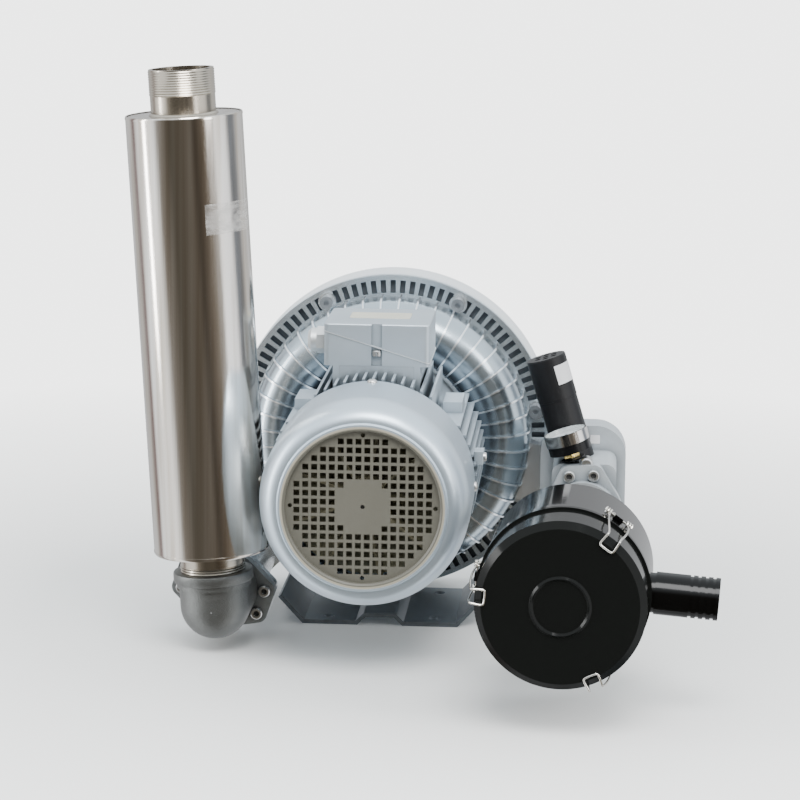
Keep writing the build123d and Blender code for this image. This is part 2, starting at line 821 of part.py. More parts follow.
# ---------------------------------------------------------------- foot
with BuildPart() as foot:
    with BuildSketch(Plane(origin=(0, foot_front, 0), x_dir=(1, 0, 0), z_dir=(0, -1, 0))):
        with BuildLine() as sole:
            Polyline(
                (-foot_half, foot_rise),
                (-pad_outer, 0),
                (-pad_inner, 0),
                (-arch_half, arch_height),
                (arch_half, arch_height),
                (pad_inner, 0),
                (pad_outer, 0),
                (foot_half, foot_rise),
            )
            offset(amount=foot_sheet, side=Side.LEFT)
        make_face()
    extrude(amount=-foot_length)
    with BuildSketch(Plane.XY):
        with GridLocations(bolt_spacing_x, bolt_spacing_y, 2, 2):
            Circle(foot_hole)
        with Locations(*leg_bolt_places):
            Circle(bolt_radius + seat_gap)
    extrude(amount=arch_height + foot_sheet, mode=Mode.SUBTRACT)
finish(foot, "foot")

for number, (bolt_x, bolt_y) in enumerate(leg_bolt_places, start=1):
    foot_bolt_line = Plane(origin=(bolt_x, bolt_y, arch_height), x_dir=(0, 0, 1), z_dir=(1, 0, 0))
    with BuildPart() as foot_bolt:
        tube(foot_bolt_line, 0, foot_bolt_length, bolt_radius)
        with BuildSketch(Plane(foot_bolt_line.origin, z_dir=(0, 0, -1))):
            RegularPolygon(bolt_head_radius, 6, major_radius=False)
        extrude(amount=foot_bolt_head)
    finish(foot_bolt, f"foot_bolt_{number}")

# ---------------------------------------------------------------- outlet flange, elbow and silencer
outlet_front = outlet_face - flange_thickness
elbow_y = outlet_front - elbow_offset
pipe_bore = pipe_radius - pipe_wall
with BuildPart() as outlet_flange:
    extrude(flange_outline(outlet_plane, pipe_bore), amount=flange_thickness)
finish(outlet_flange, "outlet_flange")

rise = leaning_plane(outlet_x, elbow_y, outlet_z, silencer_lean)
collar_top = elbow_leg
collar_foot = elbow_leg - elbow_collar_height
socket_depth = collar_top - stub_engaged
with BuildPart() as elbow:
    with BuildSketch(outlet_line):
        with BuildLine():
            CenterArc((elbow_y, 0), elbow_radius, quarter_turn, quarter_turn)
            Line((elbow_y - elbow_radius, 0), (outlet_front, 0))
            Line((outlet_front, 0), (outlet_front, elbow_radius))
            Line((outlet_front, elbow_radius), (elbow_y, elbow_radius))
        make_face()
    revolve(axis=Axis(outlet_line.origin, outlet_line.x_dir))
    tube(rise, 0, collar_top, elbow_radius)
    tube(rise, collar_foot, collar_top, elbow_collar)
    fillet(elbow.faces().filter_by(GeomType.PLANE).sort_by(Axis.Z)[-1].edges(), collar_round)
    tube(outlet_line, elbow_y, outlet_front, pipe_bore, mode=Mode.SUBTRACT)
    with BuildSketch(outlet_line):
        with BuildLine():
            CenterArc((elbow_y, 0), pipe_bore, quarter_turn, quarter_turn)
            Line((elbow_y - pipe_bore, 0), (elbow_y, 0))
            Line((elbow_y, 0), (elbow_y, pipe_bore))
        make_face()
    revolve(axis=Axis(outlet_line.origin, outlet_line.x_dir), mode=Mode.SUBTRACT)
    tube(rise, 0, collar_top, pipe_bore, mode=Mode.SUBTRACT)
    tube(rise, socket_depth, collar_top, pipe_radius + seat_gap, mode=Mode.SUBTRACT)
finish(elbow, "elbow")

silencer_end = silencer_start + silencer_length
stub_neck = pipe_radius - thread_relief
stub_neck_end = silencer_end + thread_relief
perforated_outer = pipe_bore + perforated_wall
with BuildPart() as silencer_shell:
    tube(rise, silencer_start, silencer_end, silencer_radius, silencer_radius - silencer_sheet)
    for cap_start in (silencer_start, silencer_end - silencer_cap):
        tube(rise, cap_start, cap_start + silencer_cap, silencer_radius, stub_neck)
finish(silencer_shell, "silencer_shell")

with BuildPart() as silencer_pipe:
    tube(rise, socket_depth, silencer_start, pipe_radius, pipe_bore)
    tube(rise, silencer_start, silencer_start + silencer_cap, stub_neck, pipe_bore)
    tube(rise, silencer_start + silencer_cap, silencer_end - silencer_cap, perforated_outer, pipe_bore)
    tube(rise, silencer_end - silencer_cap, stub_neck_end, stub_neck, pipe_bore)
    tube(rise, stub_neck_end, silencer_end + stub_top, pipe_radius, pipe_bore)
finish(silencer_pipe, "silencer_pipe")

with BuildPart() as silencer_packing:
    tube(
        rise,
        silencer_start + silencer_cap,
        silencer_end - silencer_cap,
        silencer_radius - silencer_sheet,
        perforated_outer,
    )
finish(silencer_packing, "silencer_packing")

# ---------------------------------------------------------------- inlet plenum and flange
inlet_front = inlet_face
neck_front = inlet_front + flange_thickness
neck_back = neck_front + neck_length
inlet_plane = port_plane(inlet_x, neck_front, inlet_z, inlet_tilt)
neck_top = inlet_z + neck_rise
with BuildPart() as inlet_plenum:
    with BuildSketch(facing(neck_front)):
        with Locations((inlet_x, inlet_z + (neck_rise - neck_drop) / 2)):
            RectangleRounded(2 * neck_half, neck_rise + neck_drop, neck_corner)
    extrude(amount=-neck_length)
    with BuildSketch(facing(neck_back)):
        with Locations((inlet_x, inlet_z)):
            with Locations((plenum_side[0], plenum_side[1])):
                RectangleRounded(plenum_size[0], plenum_size[1], plenum_corner)
    extrude(amount=-(lug_front - neck_back))
    fillet(inlet_plenum.faces().sort_by(Axis.Y)[-1].edges(), plenum_round)
    tube(inlet_duct, neck_front, lug_front, duct_bore, mode=Mode.SUBTRACT)
finish(inlet_plenum, "inlet_plenum")

with BuildPart() as inlet_flange:
    extrude(flange_outline(inlet_plane, pipe_bore), amount=flange_thickness)
    tube(inlet_line, -flange_boss_length, flange_thickness / 2, flange_boss)
    tube(inlet_line, -flange_boss_length, flange_thickness / 2, pipe_radius + seat_gap, mode=Mode.SUBTRACT)
finish(inlet_flange, "inlet_flange")

filter_back = -nipple_reach
with BuildPart() as inlet_nipple:
    tube(inlet_line, filter_back - stub_engaged, flange_thickness / 2 - rest_gap, pipe_radius, pipe_bore)
finish(inlet_nipple, "inlet_nipple")

# ---------------------------------------------------------------- relief valve on the neck
valve_foot = leaning_plane(valve_x, valve_y, neck_top, valve_lean)
valve_skirt = valve_radius * sin(radians(valve_lean))
with BuildPart() as relief_body:
    tube(valve_foot, -valve_skirt, valve_height, valve_radius)
    tube(valve_foot, valve_skirt, valve_height - valve_roof, valve_bore, mode=Mode.SUBTRACT)
    tube(valve_foot, -valve_skirt, valve_skirt, valve_seat, mode=Mode.SUBTRACT)
    with BuildSketch(Plane(valve_foot.origin, x_dir=(0, 1, 0), z_dir=valve_foot.x_dir).offset(valve_height)):
        with PolarLocations(vent_circle, vent_count):
            Circle(vent_radius)
        Circle(vent_radius)
    extrude(amount=-valve_roof, mode=Mode.SUBTRACT)
    with BuildSketch(facing(neck_front)):
        with Locations((inlet_x, neck_top)):
            Rectangle(4 * neck_half, 4 * valve_skirt, align=(Align.CENTER, Align.MAX))
    extrude(amount=-neck_length, mode=Mode.SUBTRACT)
finish(relief_body, "relief_body")

with BuildPart() as relief_poppet:
    tube(valve_foot, valve_skirt + rest_gap, valve_skirt + rest_gap + poppet_thickness, poppet_radius)
    tube(valve_foot, valve_skirt + rest_gap, valve_skirt + poppet_stem, poppet_stem_radius)
finish(relief_poppet, "relief_poppet")

spring_start = valve_skirt + rest_gap + poppet_thickness + rest_gap + spring_wire
spring_end = valve_height - valve_roof - rest_gap - spring_wire
with BuildPart() as relief_spring:
    with BuildLine():
        coil = Helix(
            pitch=(spring_end - spring_start) / spring_coils,
            height=spring_end - spring_start,
            radius=spring_radius,
            center=valve_foot.origin + valve_foot.x_dir * spring_start,
            direction=valve_foot.x_dir,
        )
    with BuildSketch(Plane(origin=coil @ 0, z_dir=coil % 0)):
        RegularPolygon(spring_wire, 6)
    sweep(is_frenet=True)
finish(relief_spring, "relief_spring")

# ---------------------------------------------------------------- pressure gauge
gauge_y = neck_front + gauge_setback
gauge_line = leaning_plane(gauge_x, gauge_y, neck_top, valve_lean)
case_start = gauge_rise
bezel_start = case_start + gauge_case_depth
bezel_end = bezel_start + gauge_bezel_depth
dial_level = bezel_end - dial_depth
with BuildPart() as gauge_case:
    tube(gauge_line, -stem_radius, case_start, stem_radius)
    tube(gauge_line, case_start, bezel_start, gauge_radius - case_step)
    with BuildSketch(Plane(gauge_line.origin, x_dir=(0, 1, 0), z_dir=gauge_line.x_dir).offset(stem_hex_at)):
        RegularPolygon(stem_flats / 2, 6, major_radius=False)
    extrude(amount=stem_hex)
    tube(gauge_line, bezel_start, dial_level, gauge_radius - bezel_wall - seat_gap)
    with BuildSketch(facing(gauge_y - gauge_radius)):
        with Locations((gauge_x, neck_top)):
            Rectangle(4 * stem_radius, 4 * stem_radius, align=(Align.CENTER, Align.MAX))
    extrude(amount=-2 * gauge_radius, mode=Mode.SUBTRACT)
finish(gauge_case, "gauge_case")

with BuildPart() as gauge_bezel:
    tube(gauge_line, bezel_start, bezel_end, gauge_radius, gauge_radius - bezel_wall)
finish(gauge_bezel, "gauge_bezel")

glass_start = bezel_end - glass_thickness - seat_gap
with BuildPart() as gauge_glass:
    tube(gauge_line, glass_start, glass_start + glass_thickness, gauge_radius - bezel_wall - seat_gap)
finish(gauge_glass, "gauge_glass")

pointer_level = dial_level + pointer_gap
with BuildPart() as gauge_pointer:
    dial_plane = Plane(gauge_line.origin, x_dir=(0, -1, 0), z_dir=gauge_line.x_dir).offset(pointer_level)
    with BuildSketch(dial_plane):
        with BuildLine():
            Polyline(
                (-pointer_tail, -pivot_radius / 2),
                (pointer_reach, -pivot_radius / 8),
                (pointer_reach, pivot_radius / 8),
                (-pointer_tail, pivot_radius / 2),
                close=True,
            )
        make_face()
        Circle(pivot_radius)
    extrude(amount=pointer_thickness)
finish(gauge_pointer, "gauge_pointer")

# ---------------------------------------------------------------- inlet filter
lid_back = filter_back - can_depth
filter_front = lid_back - lid_depth
bead_radius = filter_radius + bead_height
can_bore = filter_radius - filter_sheet


def filter_point(along, radial, across, angle):
    """Point beside the filter axis, at an angle clockwise from straight up."""
    turn = radians(angle)
    side = radial * sin(turn) + across * cos(turn)
    up = radial * cos(turn) - across * sin(turn)
    return inlet_line.origin + inlet_line.x_dir * along + inlet_line.y_dir * up + inlet_line.z_dir * side


barb_centre = filter_point(lid_back + barb_setback, 0, 0, 0)
barb_plane = Plane(
    barb_centre,
    x_dir=filter_point(lid_back + barb_setback, 1, 0, 90 + barb_droop) - barb_centre,
    z_dir=-inlet_line.x_dir,
)
barb_root = sqrt(filter_radius**2 - barb_radius**2)
barb_end = filter_radius + barb_length
groove_radius = barb_radius - barb_groove
with BuildPart() as filter_lid:
    turned(
        inlet_line,
        (filter_front, 0),
        (filter_front, lid_ring - lid_press),
        (filter_front - lid_press, lid_ring),
        (filter_front, lid_ring + lid_press),
        (filter_front, filter_radius - lid_edge),
        (filter_front + lid_edge, filter_radius),
        (lid_back - bead_width, filter_radius),
        (lid_back - bead_width, bead_radius),
        (lid_back, bead_radius),
        (lid_back, can_bore),
        (filter_front + lid_edge, can_bore),
        (filter_front + filter_sheet, can_bore - lid_edge),
        (filter_front + filter_sheet, 0),
    )
finish(filter_lid, "filter_lid")

clip_line = bead_radius + clip_wire + rest_gap
clip_pivot = lid_back + clip_setback
bracket_half = 3 * clip_wire
bracket_rise = clip_line + 2.5 * clip_wire - filter_radius
bracket_width = clip_width - 6 * clip_wire
with BuildPart() as filter_can:
    turned(
        inlet_line,
        (lid_back, can_bore),
        (lid_back, bead_radius),
        (lid_back + bead_width, bead_radius),
        (lid_back + bead_width, filter_radius),
        (filter_back, filter_radius),
        (filter_back, pipe_radius + seat_gap),
        (filter_back - filter_sheet, pipe_radius + seat_gap),
        (filter_back - filter_sheet, can_bore),
    )
    tube(
        inlet_line,
        filter_back - stub_engaged,
        filter_back,
        pipe_radius + seat_gap + pipe_wall,
        pipe_radius + seat_gap,
    )
    for clip_angle in clip_angles:
        seat = filter_point(clip_pivot - bracket_half, filter_radius - filter_sheet / 2, 0, clip_angle)
        outwards = filter_point(0, 1, 0, clip_angle) - inlet_line.origin
        with BuildSketch(Plane(seat, x_dir=outwards, z_dir=-inlet_line.x_dir)):
            Rectangle(bracket_rise, bracket_width, align=(Align.MIN, Align.CENTER))
        extrude(amount=-2 * bracket_half)
        bore_start = filter_point(clip_pivot, clip_line, -clip_width / 2, clip_angle)
        bore_end = filter_point(clip_pivot, clip_line, clip_width / 2, clip_angle)
        with BuildSketch(Plane(bore_start, z_dir=bore_end - bore_start)):
            Circle(clip_wire + running_gap)
        extrude(amount=clip_width, mode=Mode.SUBTRACT)
    tube(barb_plane, barb_root - filter_sheet * 2, barb_end, barb_bore, mode=Mode.SUBTRACT)
finish(filter_can, "filter_can")

with BuildPart() as hose_barb:
    turned(
        barb_plane,
        (barb_root, barb_bore),
        (barb_root, groove_radius),
        (filter_radius + barb_neck, groove_radius),
        (filter_radius + barb_neck, barb_radius),
        *[
            point
            for ridge in range(barb_ridges, 0, -1)
            for point in (
                (barb_end - ridge * barb_pitch, barb_radius),
                (barb_end - ridge * barb_pitch, groove_radius),
                (barb_end - ridge * barb_pitch + barb_pitch - barb_land, groove_radius),
                (barb_end - ridge * barb_pitch + barb_pitch - barb_land, barb_radius),
            )
        ],
        (barb_end, barb_radius),
        (barb_end, barb_bore),
    )
    tube(inlet_line, lid_back, filter_back, filter_radius + seat_gap, mode=Mode.SUBTRACT)
finish(hose_barb, "hose_barb")

cartridge_front = filter_front + filter_sheet + lid_press
cartridge_back = filter_back - filter_sheet - rest_gap
with BuildPart() as filter_element:
    tube(inlet_line, cartridge_front, cartridge_back, cartridge_pleats, cartridge_inner)
    tube(inlet_line, cartridge_front, cartridge_front + cartridge_cap, cartridge_outer)
    tube(inlet_line, cartridge_back - cartridge_cap, cartridge_back, cartridge_outer, cartridge_inner)
finish(filter_element, "filter_element")

# ---------------------------------------------------------------- wire clips
clip_front = filter_front - clip_wire - rest_gap
hook = clip_line - clip_hook
for number, clip_angle in enumerate(clip_angles, start=1):
    corners = [
        filter_point(clip_pivot, clip_line, clip_width / 2, clip_angle),
        filter_point(clip_front, clip_line, clip_width / 2, clip_angle),
        filter_point(clip_front, hook, clip_width / 3, clip_angle),
        filter_point(clip_front, hook, -clip_width / 3, clip_angle),
        filter_point(clip_front, clip_line, -clip_width / 2, clip_angle),
        filter_point(clip_pivot, clip_line, -clip_width / 2, clip_angle),
    ]
    with BuildPart() as wire_clip:
        with BuildLine():
            Polyline(*corners, close=True)
        with BuildSketch(Plane((corners[0] + corners[1]) / 2, z_dir=corners[1] - corners[0])):
            Circle(clip_wire)
        sweep(transition=Transition.ROUND)
    finish(wire_clip, f"wire_clip_{number}")
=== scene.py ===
"""Side channel blower: the looks of every piece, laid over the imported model."""

from math import cos, pi, radians, sin

import bmesh
import bpy
from mathutils import Matrix, Vector


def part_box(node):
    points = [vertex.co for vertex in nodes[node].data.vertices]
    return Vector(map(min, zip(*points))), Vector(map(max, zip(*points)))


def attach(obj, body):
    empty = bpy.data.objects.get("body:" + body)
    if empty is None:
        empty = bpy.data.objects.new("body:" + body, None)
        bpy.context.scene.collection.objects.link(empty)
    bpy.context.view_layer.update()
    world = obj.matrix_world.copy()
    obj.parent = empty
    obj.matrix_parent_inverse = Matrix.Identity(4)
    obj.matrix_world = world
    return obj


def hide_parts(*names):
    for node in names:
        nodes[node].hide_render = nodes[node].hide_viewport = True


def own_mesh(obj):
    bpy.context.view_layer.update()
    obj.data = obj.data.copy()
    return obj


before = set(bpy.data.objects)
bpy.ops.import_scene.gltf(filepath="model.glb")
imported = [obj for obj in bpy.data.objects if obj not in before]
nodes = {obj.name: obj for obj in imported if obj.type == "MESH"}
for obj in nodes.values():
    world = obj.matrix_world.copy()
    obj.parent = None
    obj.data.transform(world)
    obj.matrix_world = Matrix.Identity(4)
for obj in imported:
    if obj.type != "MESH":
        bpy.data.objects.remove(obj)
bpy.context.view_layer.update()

# ------------------------------------------------------------------ studio
# A pale floor in a bright even room, with one large soft lamp above the front.
# Dark and bright bands on the walls mirror in the polished tube, and the floor
# doesn't, so the bands run down to its foot.
floor_mesh = bmesh.new()
floor_reach = 1.6
bmesh.ops.create_circle(floor_mesh, cap_ends=True, segments=64, radius=floor_reach)
floor_data = bpy.data.meshes.new("floor")
floor_mesh.to_mesh(floor_data)
floor = bpy.data.objects.new("floor", floor_data)
bpy.context.scene.collection.objects.link(floor)
floor.visible_glossy = False


class Field:
    """A number or colour that may vary over a surface; arithmetic on it adds Math nodes."""

    def __init__(self, graph, socket):
        self.graph, self.socket = graph, socket

    def math(self, operation, other=0.0, swapped=False):
        made = self.graph.tree.nodes.new("ShaderNodeMath")
        made.operation = operation
        for socket, value in zip(made.inputs, (other, self) if swapped else (self, other)):
            self.graph.feed(socket, value)
        return Field(self.graph, made.outputs[0])

    def __add__(self, other):
        return self.math("ADD", other)

    def __sub__(self, other):
        return self.math("SUBTRACT", other)

    def __rsub__(self, other):
        return self.math("SUBTRACT", other, swapped=True)

    def __mul__(self, other):
        return self.math("MULTIPLY", other)

    __radd__, __rmul__ = __add__, __mul__


class Graph:
    """A node tree: constants are set on sockets, fields are linked to them."""

    def __init__(self, tree):
        self.tree = tree

    def feed(self, socket, value):
        if isinstance(value, Field):
            self.tree.links.new(value.socket, socket)
        else:
            socket.default_value = value

    def node(self, kind, settings=None, stops=None, output=0, **inputs):
        made = self.tree.nodes.new(kind)
        for name, value in (settings or {}).items():
            setattr(made, name, value)
        for index, (position, colour) in enumerate(stops or ()):
            ramp = made.color_ramp.elements
            stop = ramp[index] if index < 2 else ramp.new(position)
            stop.position, stop.color = position, colour
        for name, value in inputs.items():
            self.feed(made.inputs[name.replace("_", " ")], value)
        return Field(self, made.outputs[output])

    def split(self, vector):
        """The x, y and z of a vector."""
        made = self.tree.nodes.new("ShaderNodeSeparateXYZ")
        self.feed(made.inputs[0], vector)
        return [Field(self, made.outputs[axis]) for axis in range(3)]

    def blend(self, factor, first, second, kind="MIX"):
        made = self.tree.nodes.new("ShaderNodeMix")
        made.data_type, made.blend_type = "RGBA", kind
        self.feed(made.inputs["Factor"], factor)
        self.feed(made.inputs[6], first)
        self.feed(made.inputs[7], second)
        return Field(self, made.outputs[2])


class Finish(Graph):
    """One material: constants go on the shader's own sockets, fields are worked out by nodes."""

    def __init__(self, name, colour, **constants):
        self.material = bpy.data.materials.new(name)
        self.material.use_nodes = True
        super().__init__(self.material.node_tree)
        self.shader = self.tree.nodes["Principled BSDF"]
        self.set(Base_Color=(*colour, 1), **constants)
        self.place = self.node("ShaderNodeTexCoord", output="Object")

    def set(self, **values):
        for name, value in values.items():
            self.feed(self.shader.inputs[name.replace("_", " ")], value)

    def noise(self, scale, detail=3.0, stretch=(1, 1, 1)):
        spread = self.node("ShaderNodeMapping", Vector=self.place, Scale=stretch)
        return self.node("ShaderNodeTexNoise", Vector=spread, Scale=scale, Detail=detail)

    def mask(self, field, low, high):
        """0 below low, 1 above high."""
        return self.node("ShaderNodeValToRGB", stops=((low, (0, 0, 0, 1)), (high, (1, 1, 1, 1))), Fac=field)

    def corner_shade(self, reach):
        """Painted shade: 1 on open faces, falling to 0 in corners and gaps."""
        return self.node("ShaderNodeAmbientOcclusion", {"samples": 12}, output="AO", Distance=reach)

    def bump(self, height, strength, distance):
        self.set(Normal=self.node("ShaderNodeBump", Height=height, Strength=strength, Distance=distance))


def rgb(red, green, blue):
    return (red, green, blue, 1)


floor_finish = Finish("pale_floor", (0.86, 0.86, 0.84), Roughness=0.7)
reach = floor_finish.node(
    "ShaderNodeVectorMath", {"operation": "LENGTH"}, output="Value", Vector=floor_finish.place
)
fade_start, fade_end = 0.22, 0.80
floor_finish.set(
    Roughness=0.65 + floor_finish.noise(3, 3) * 0.1,
    Alpha=1.0 - floor_finish.mask(reach * (1 / floor_reach), fade_start, fade_end),
)
floor_data.materials.append(floor_finish.material)

world = bpy.data.worlds.new("room")
bpy.context.scene.world = world
world.use_nodes = True
room = Graph(world.node_tree)
east, north, height = room.split(room.node("ShaderNodeTexCoord", output="Generated"))
bearing = east.math("ARCTAN2", north * -1.0) * (0.5 / pi) + 0.5
walls = room.node(
    "ShaderNodeValToRGB",
    stops=(
        (0.00, (0.42, 0.43, 0.44, 1)),
        (0.15, (0.60, 0.61, 0.62, 1)),
        (0.19, (0.14, 0.08, 0.08, 1)),
        (0.215, (0.95, 0.98, 1.0, 1)),
        (0.33, (1.25, 1.28, 1.30, 1)),
        (0.37, (0.20, 0.185, 0.165, 1)),
        (0.44, (0.085, 0.078, 0.065, 1)),
        (0.545, (0.11, 0.098, 0.082, 1)),
        (0.575, (0.055, 0.047, 0.038, 1)),
        (0.63, (0.12, 0.098, 0.074, 1)),
        (0.675, (0.30, 0.28, 0.25, 1)),
        (0.69, (1.25, 1.27, 1.28, 1)),
        (0.76, (1.0, 1.02, 1.05, 1)),
        (0.785, (0.16, 0.18, 0.21, 1)),
        (0.83, (0.22, 0.24, 0.27, 1)),
        (0.86, (0.7, 0.72, 0.74, 1)),
        (1.00, (0.42, 0.43, 0.44, 1)),
    ),
    Fac=bearing,
)
ceiling = room.node(
    "ShaderNodeValToRGB", stops=((0.30, (0, 0, 0, 1)), (0.62, (1, 1, 1, 1))), Fac=height
)
lit_room = room.blend(ceiling, walls, rgb(1.02, 1.09, 1.14))
seen = room.node("ShaderNodeLightPath", output="Is Camera Ray")
backdrop = world.node_tree.nodes["Background"]
room.feed(backdrop.inputs["Color"], room.blend(seen, lit_room, rgb(2.15, 2.17, 2.16)))
room.feed(backdrop.inputs["Strength"], 1.7)


def lamp(name, place, aim, size, power, colour=(1, 1, 1)):
    data = bpy.data.lights.new(name, "AREA")
    data.shape, data.size, data.size_y, data.energy, data.color = "RECTANGLE", *size, power, colour
    lit = bpy.data.objects.new(name, data)
    lit.location = place
    lit.rotation_euler = (Vector(aim) - Vector(place)).to_track_quat("-Z", "Y").to_euler()
    bpy.context.scene.collection.objects.link(lit)


blower_middle = (0, -0.1, 0.2)
lamp("key", (0.3, -1.7, 2.2), blower_middle, (1.2, 1.2), 66)
lamp("fill", (1.9, -1.6, 1.1), blower_middle, (0.7, 1.4), 24)
lamp("strip", (-2.2, -0.6, 0.6), (-0.15, -0.17, 0.3), (0.25, 1.6), 22)

# ------------------------------------------------------------------ camera
# A long lens a little above the machine, looking down along the shaft and
# slightly from the inlet side.
camera_data = bpy.data.cameras.new("camera")
camera_data.lens, camera_data.sensor_width = 135, 36
camera = bpy.data.objects.new("camera", camera_data)
right = Vector((0.9973, 0.0735, 0.0089))
up = Vector((-0.0225, 0.1869, 0.9822))
back = right.cross(up).normalized()
turn = Matrix((right, up, back)).transposed()
camera.matrix_world = Matrix.Translation((0.2223, -2.9059, 0.7699)) @ turn.to_4x4()
bpy.context.scene.collection.objects.link(camera)
bpy.context.scene.camera = camera

# ------------------------------------------------------------------ fan cowl and guard
# Deep-drawn steel cowl in silver-blue metallic paint, held by four button
# screws round its skirt, with a beige pressed guard set in its mouth.
shaft_height = 0.166


def dress(finish, *names):
    """Give carried-over CAD nodes their finish."""
    for name in names:
        slots = nodes[name].material_slots
        if not slots:
            nodes[name].data.materials.append(finish.material)
        for held in nodes[name].material_slots:
            held.material = finish.material


def piece(name, mesh, finish, body="blower", smooth=True):
    """Turn a finished bmesh into a piece that rides on a body."""
    bmesh.ops.remove_doubles(mesh, verts=mesh.verts, dist=1e-6)
    bmesh.ops.recalc_face_normals(mesh, faces=mesh.faces)
    data = bpy.data.meshes.new(name)
    mesh.to_mesh(data)
    mesh.free()
    made = bpy.data.objects.new(name, data)
    bpy.context.scene.collection.objects.link(made)
    data.materials.append(finish.material)
    data.shade_smooth() if smooth else data.shade_flat()
    if smooth:
        data.set_sharp_from_angle(angle=radians(35))
    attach(made, body)
    return made


def along(place, axis):
    """Frame whose z runs along an axis from a place."""
    return Matrix.Translation(place) @ Vector(axis).to_track_quat("Z", "Y").to_matrix().to_4x4()


def turned(name, profile, place, axis, finish, steps=48):
    """A piece turned from (radius, height) points, with its axis through a place."""
    mesh = bmesh.new()
    points = [mesh.verts.new((radius, 0, height)) for radius, height in profile]
    edges = [mesh.edges.new(pair) for pair in zip(points, points[1:])]
    bmesh.ops.spin(
        mesh, geom=points + edges, cent=(0, 0, 0), axis=(0, 0, 1), angle=2 * pi, steps=steps,
        use_merge=True, use_duplicate=False,
    )
    bmesh.ops.remove_doubles(mesh, verts=mesh.verts, dist=1e-7)
    bmesh.ops.transform(mesh, matrix=along(place, axis), verts=mesh.verts)
    piece(name, mesh, finish)


def off_shaft(finish):
    """Distance of a surface point from the shaft's axis."""
    flat = finish.node(
        "ShaderNodeMapping", Vector=finish.place, Location=(0, 0, -shaft_height), Scale=(1, 0, 1)
    )
    return finish.node("ShaderNodeVectorMath", {"operation": "LENGTH"}, output="Value", Vector=flat)


cowl_paint = Finish("silver_blue_paint", (0.62, 0.66, 0.70), Metallic=0.75, Roughness=0.34, Coat_Weight=0.1)
flake = cowl_paint.noise(900, 2)
cloud = cowl_paint.noise(9, 4)
cowl_paint.set(
    Base_Color=cowl_paint.blend(cloud, rgb(0.52, 0.61, 0.69), rgb(0.58, 0.67, 0.74)),
    Roughness=0.30 + flake * 0.14,
)
cowl_paint.bump(flake, 0.12, 0.0002)
dress(cowl_paint, "fan_cowl")

guard_paint = Finish("beige_guard_paint", (0.36, 0.33, 0.27), Metallic=0.1, Roughness=0.45)
grain = guard_paint.noise(700, 2)
bead_inner, bead_outer, bead_spread, bead_blur = 0.0728, 0.0747, 10, 0.004
guard_radius = off_shaft(guard_paint) * bead_spread
on_bead = guard_paint.mask(guard_radius, bead_inner * bead_spread, bead_inner * bead_spread + bead_blur)
on_rim = guard_paint.mask(guard_radius, bead_outer * bead_spread, bead_outer * bead_spread + bead_blur)
beige = guard_paint.blend(guard_paint.noise(14, 4), rgb(0.105, 0.100, 0.080), rgb(0.135, 0.129, 0.105))
# painted highlight: the rolled bead is painted paler than the rest of the guard
bead_highlight = guard_paint.blend(on_bead, beige, rgb(0.34, 0.31, 0.24))
guard_paint.set(
    Base_Color=guard_paint.blend(on_rim, bead_highlight, rgb(0.55, 0.64, 0.715)),
    Metallic=on_rim * 0.7,
    Roughness=0.34 + grain * 0.16,
)
guard_paint.bump(grain, 0.2, 0.0002)
dress(guard_paint, "fan_guard")

fan_plastic = Finish("fan_plastic", (0.30, 0.27, 0.17), Roughness=0.55)
fan_plastic.set(
    Base_Color=fan_plastic.blend(fan_plastic.noise(30, 3), rgb(0.20, 0.18, 0.11), rgb(0.34, 0.31, 0.2))
)
dress(fan_plastic, "cooling_fan")

plated = Finish("plated_steel", (0.62, 0.62, 0.61), Metallic=1.0, Roughness=0.28)
brushed = plated.noise(260, 3)
plated.set(Roughness=0.2 + brushed * 0.22)
plated.bump(brushed, 0.1, 0.0001)

screw_head = [
    (0, 0.0030), (0.0022, 0.0030), (0.0042, 0.0018), (0.0048, 0.0006), (0.0048, -0.0012), (0, -0.0012),
]
cowl_low, cowl_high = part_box("fan_cowl")
cowl_radius = (cowl_high.x - cowl_low.x) / 2
screw_y = cowl_high.y - 0.0065
for quarter in range(4):
    outwards = Vector((sin(quarter * pi / 2), 0, cos(quarter * pi / 2)))
    seat = Vector((0, screw_y, shaft_height)) + outwards * (cowl_radius - 0.0001)
    turned(f"cowl_screw_{quarter + 1}", screw_head, seat, outwards, plated, 20)

# ------------------------------------------------------------------ motor frame and terminal box
# Die-cast aluminium frame and box sprayed in the same silver paint over a
# fine cast skin; the paint is slightly mottled, and painted shade darkens it in the corners.
cast_paint = Finish("painted_casting", (0.55, 0.59, 0.62), Metallic=0.6, Roughness=0.36)
skin = cast_paint.noise(420, 4)
mottle = cast_paint.noise(22, 5)
# painted shade: a dark colour in the corners and gaps of the frame, box, lid and impeller
cast_shade = cast_paint.corner_shade(0.012)
sprayed = cast_paint.blend(mottle, rgb(0.46, 0.53, 0.59), rgb(0.57, 0.64, 0.695))
cast_paint.set(
    Base_Color=cast_paint.blend(cast_shade, rgb(0.10, 0.12, 0.135), sprayed), Roughness=0.30 + skin * 0.18
)
cast_paint.bump(skin, 0.12, 0.0003)
dress(cast_paint, "motor_frame", "end_shield", "terminal_box", "terminal_lid")
nickel = Finish("matt_nickel", (0.74, 0.76, 0.76), Metallic=0.7, Roughness=0.42)
nickel.set(Roughness=0.36 + nickel.noise(200, 3) * 0.16)
dress(nickel, "cable_gland", "gland_cap", "lifting_eye")

bare_steel = Finish("bare_steel", (0.50, 0.50, 0.51), Metallic=1.0, Roughness=0.35)
bare_steel.set(Roughness=0.25 + bare_steel.noise(180, 3) * 0.3)
dress(bare_steel, "shaft", "rotor_core", "stator_core", "front_bearing", "rear_bearing", "impeller_nut")

copper = Finish("copper_turns", (0.55, 0.22, 0.09), Metallic=0.9, Roughness=0.35)
copper.bump(copper.noise(300, 2, (1, 0.05, 1)), 0.5, 0.001)
dress(copper, "front_winding", "rear_winding")

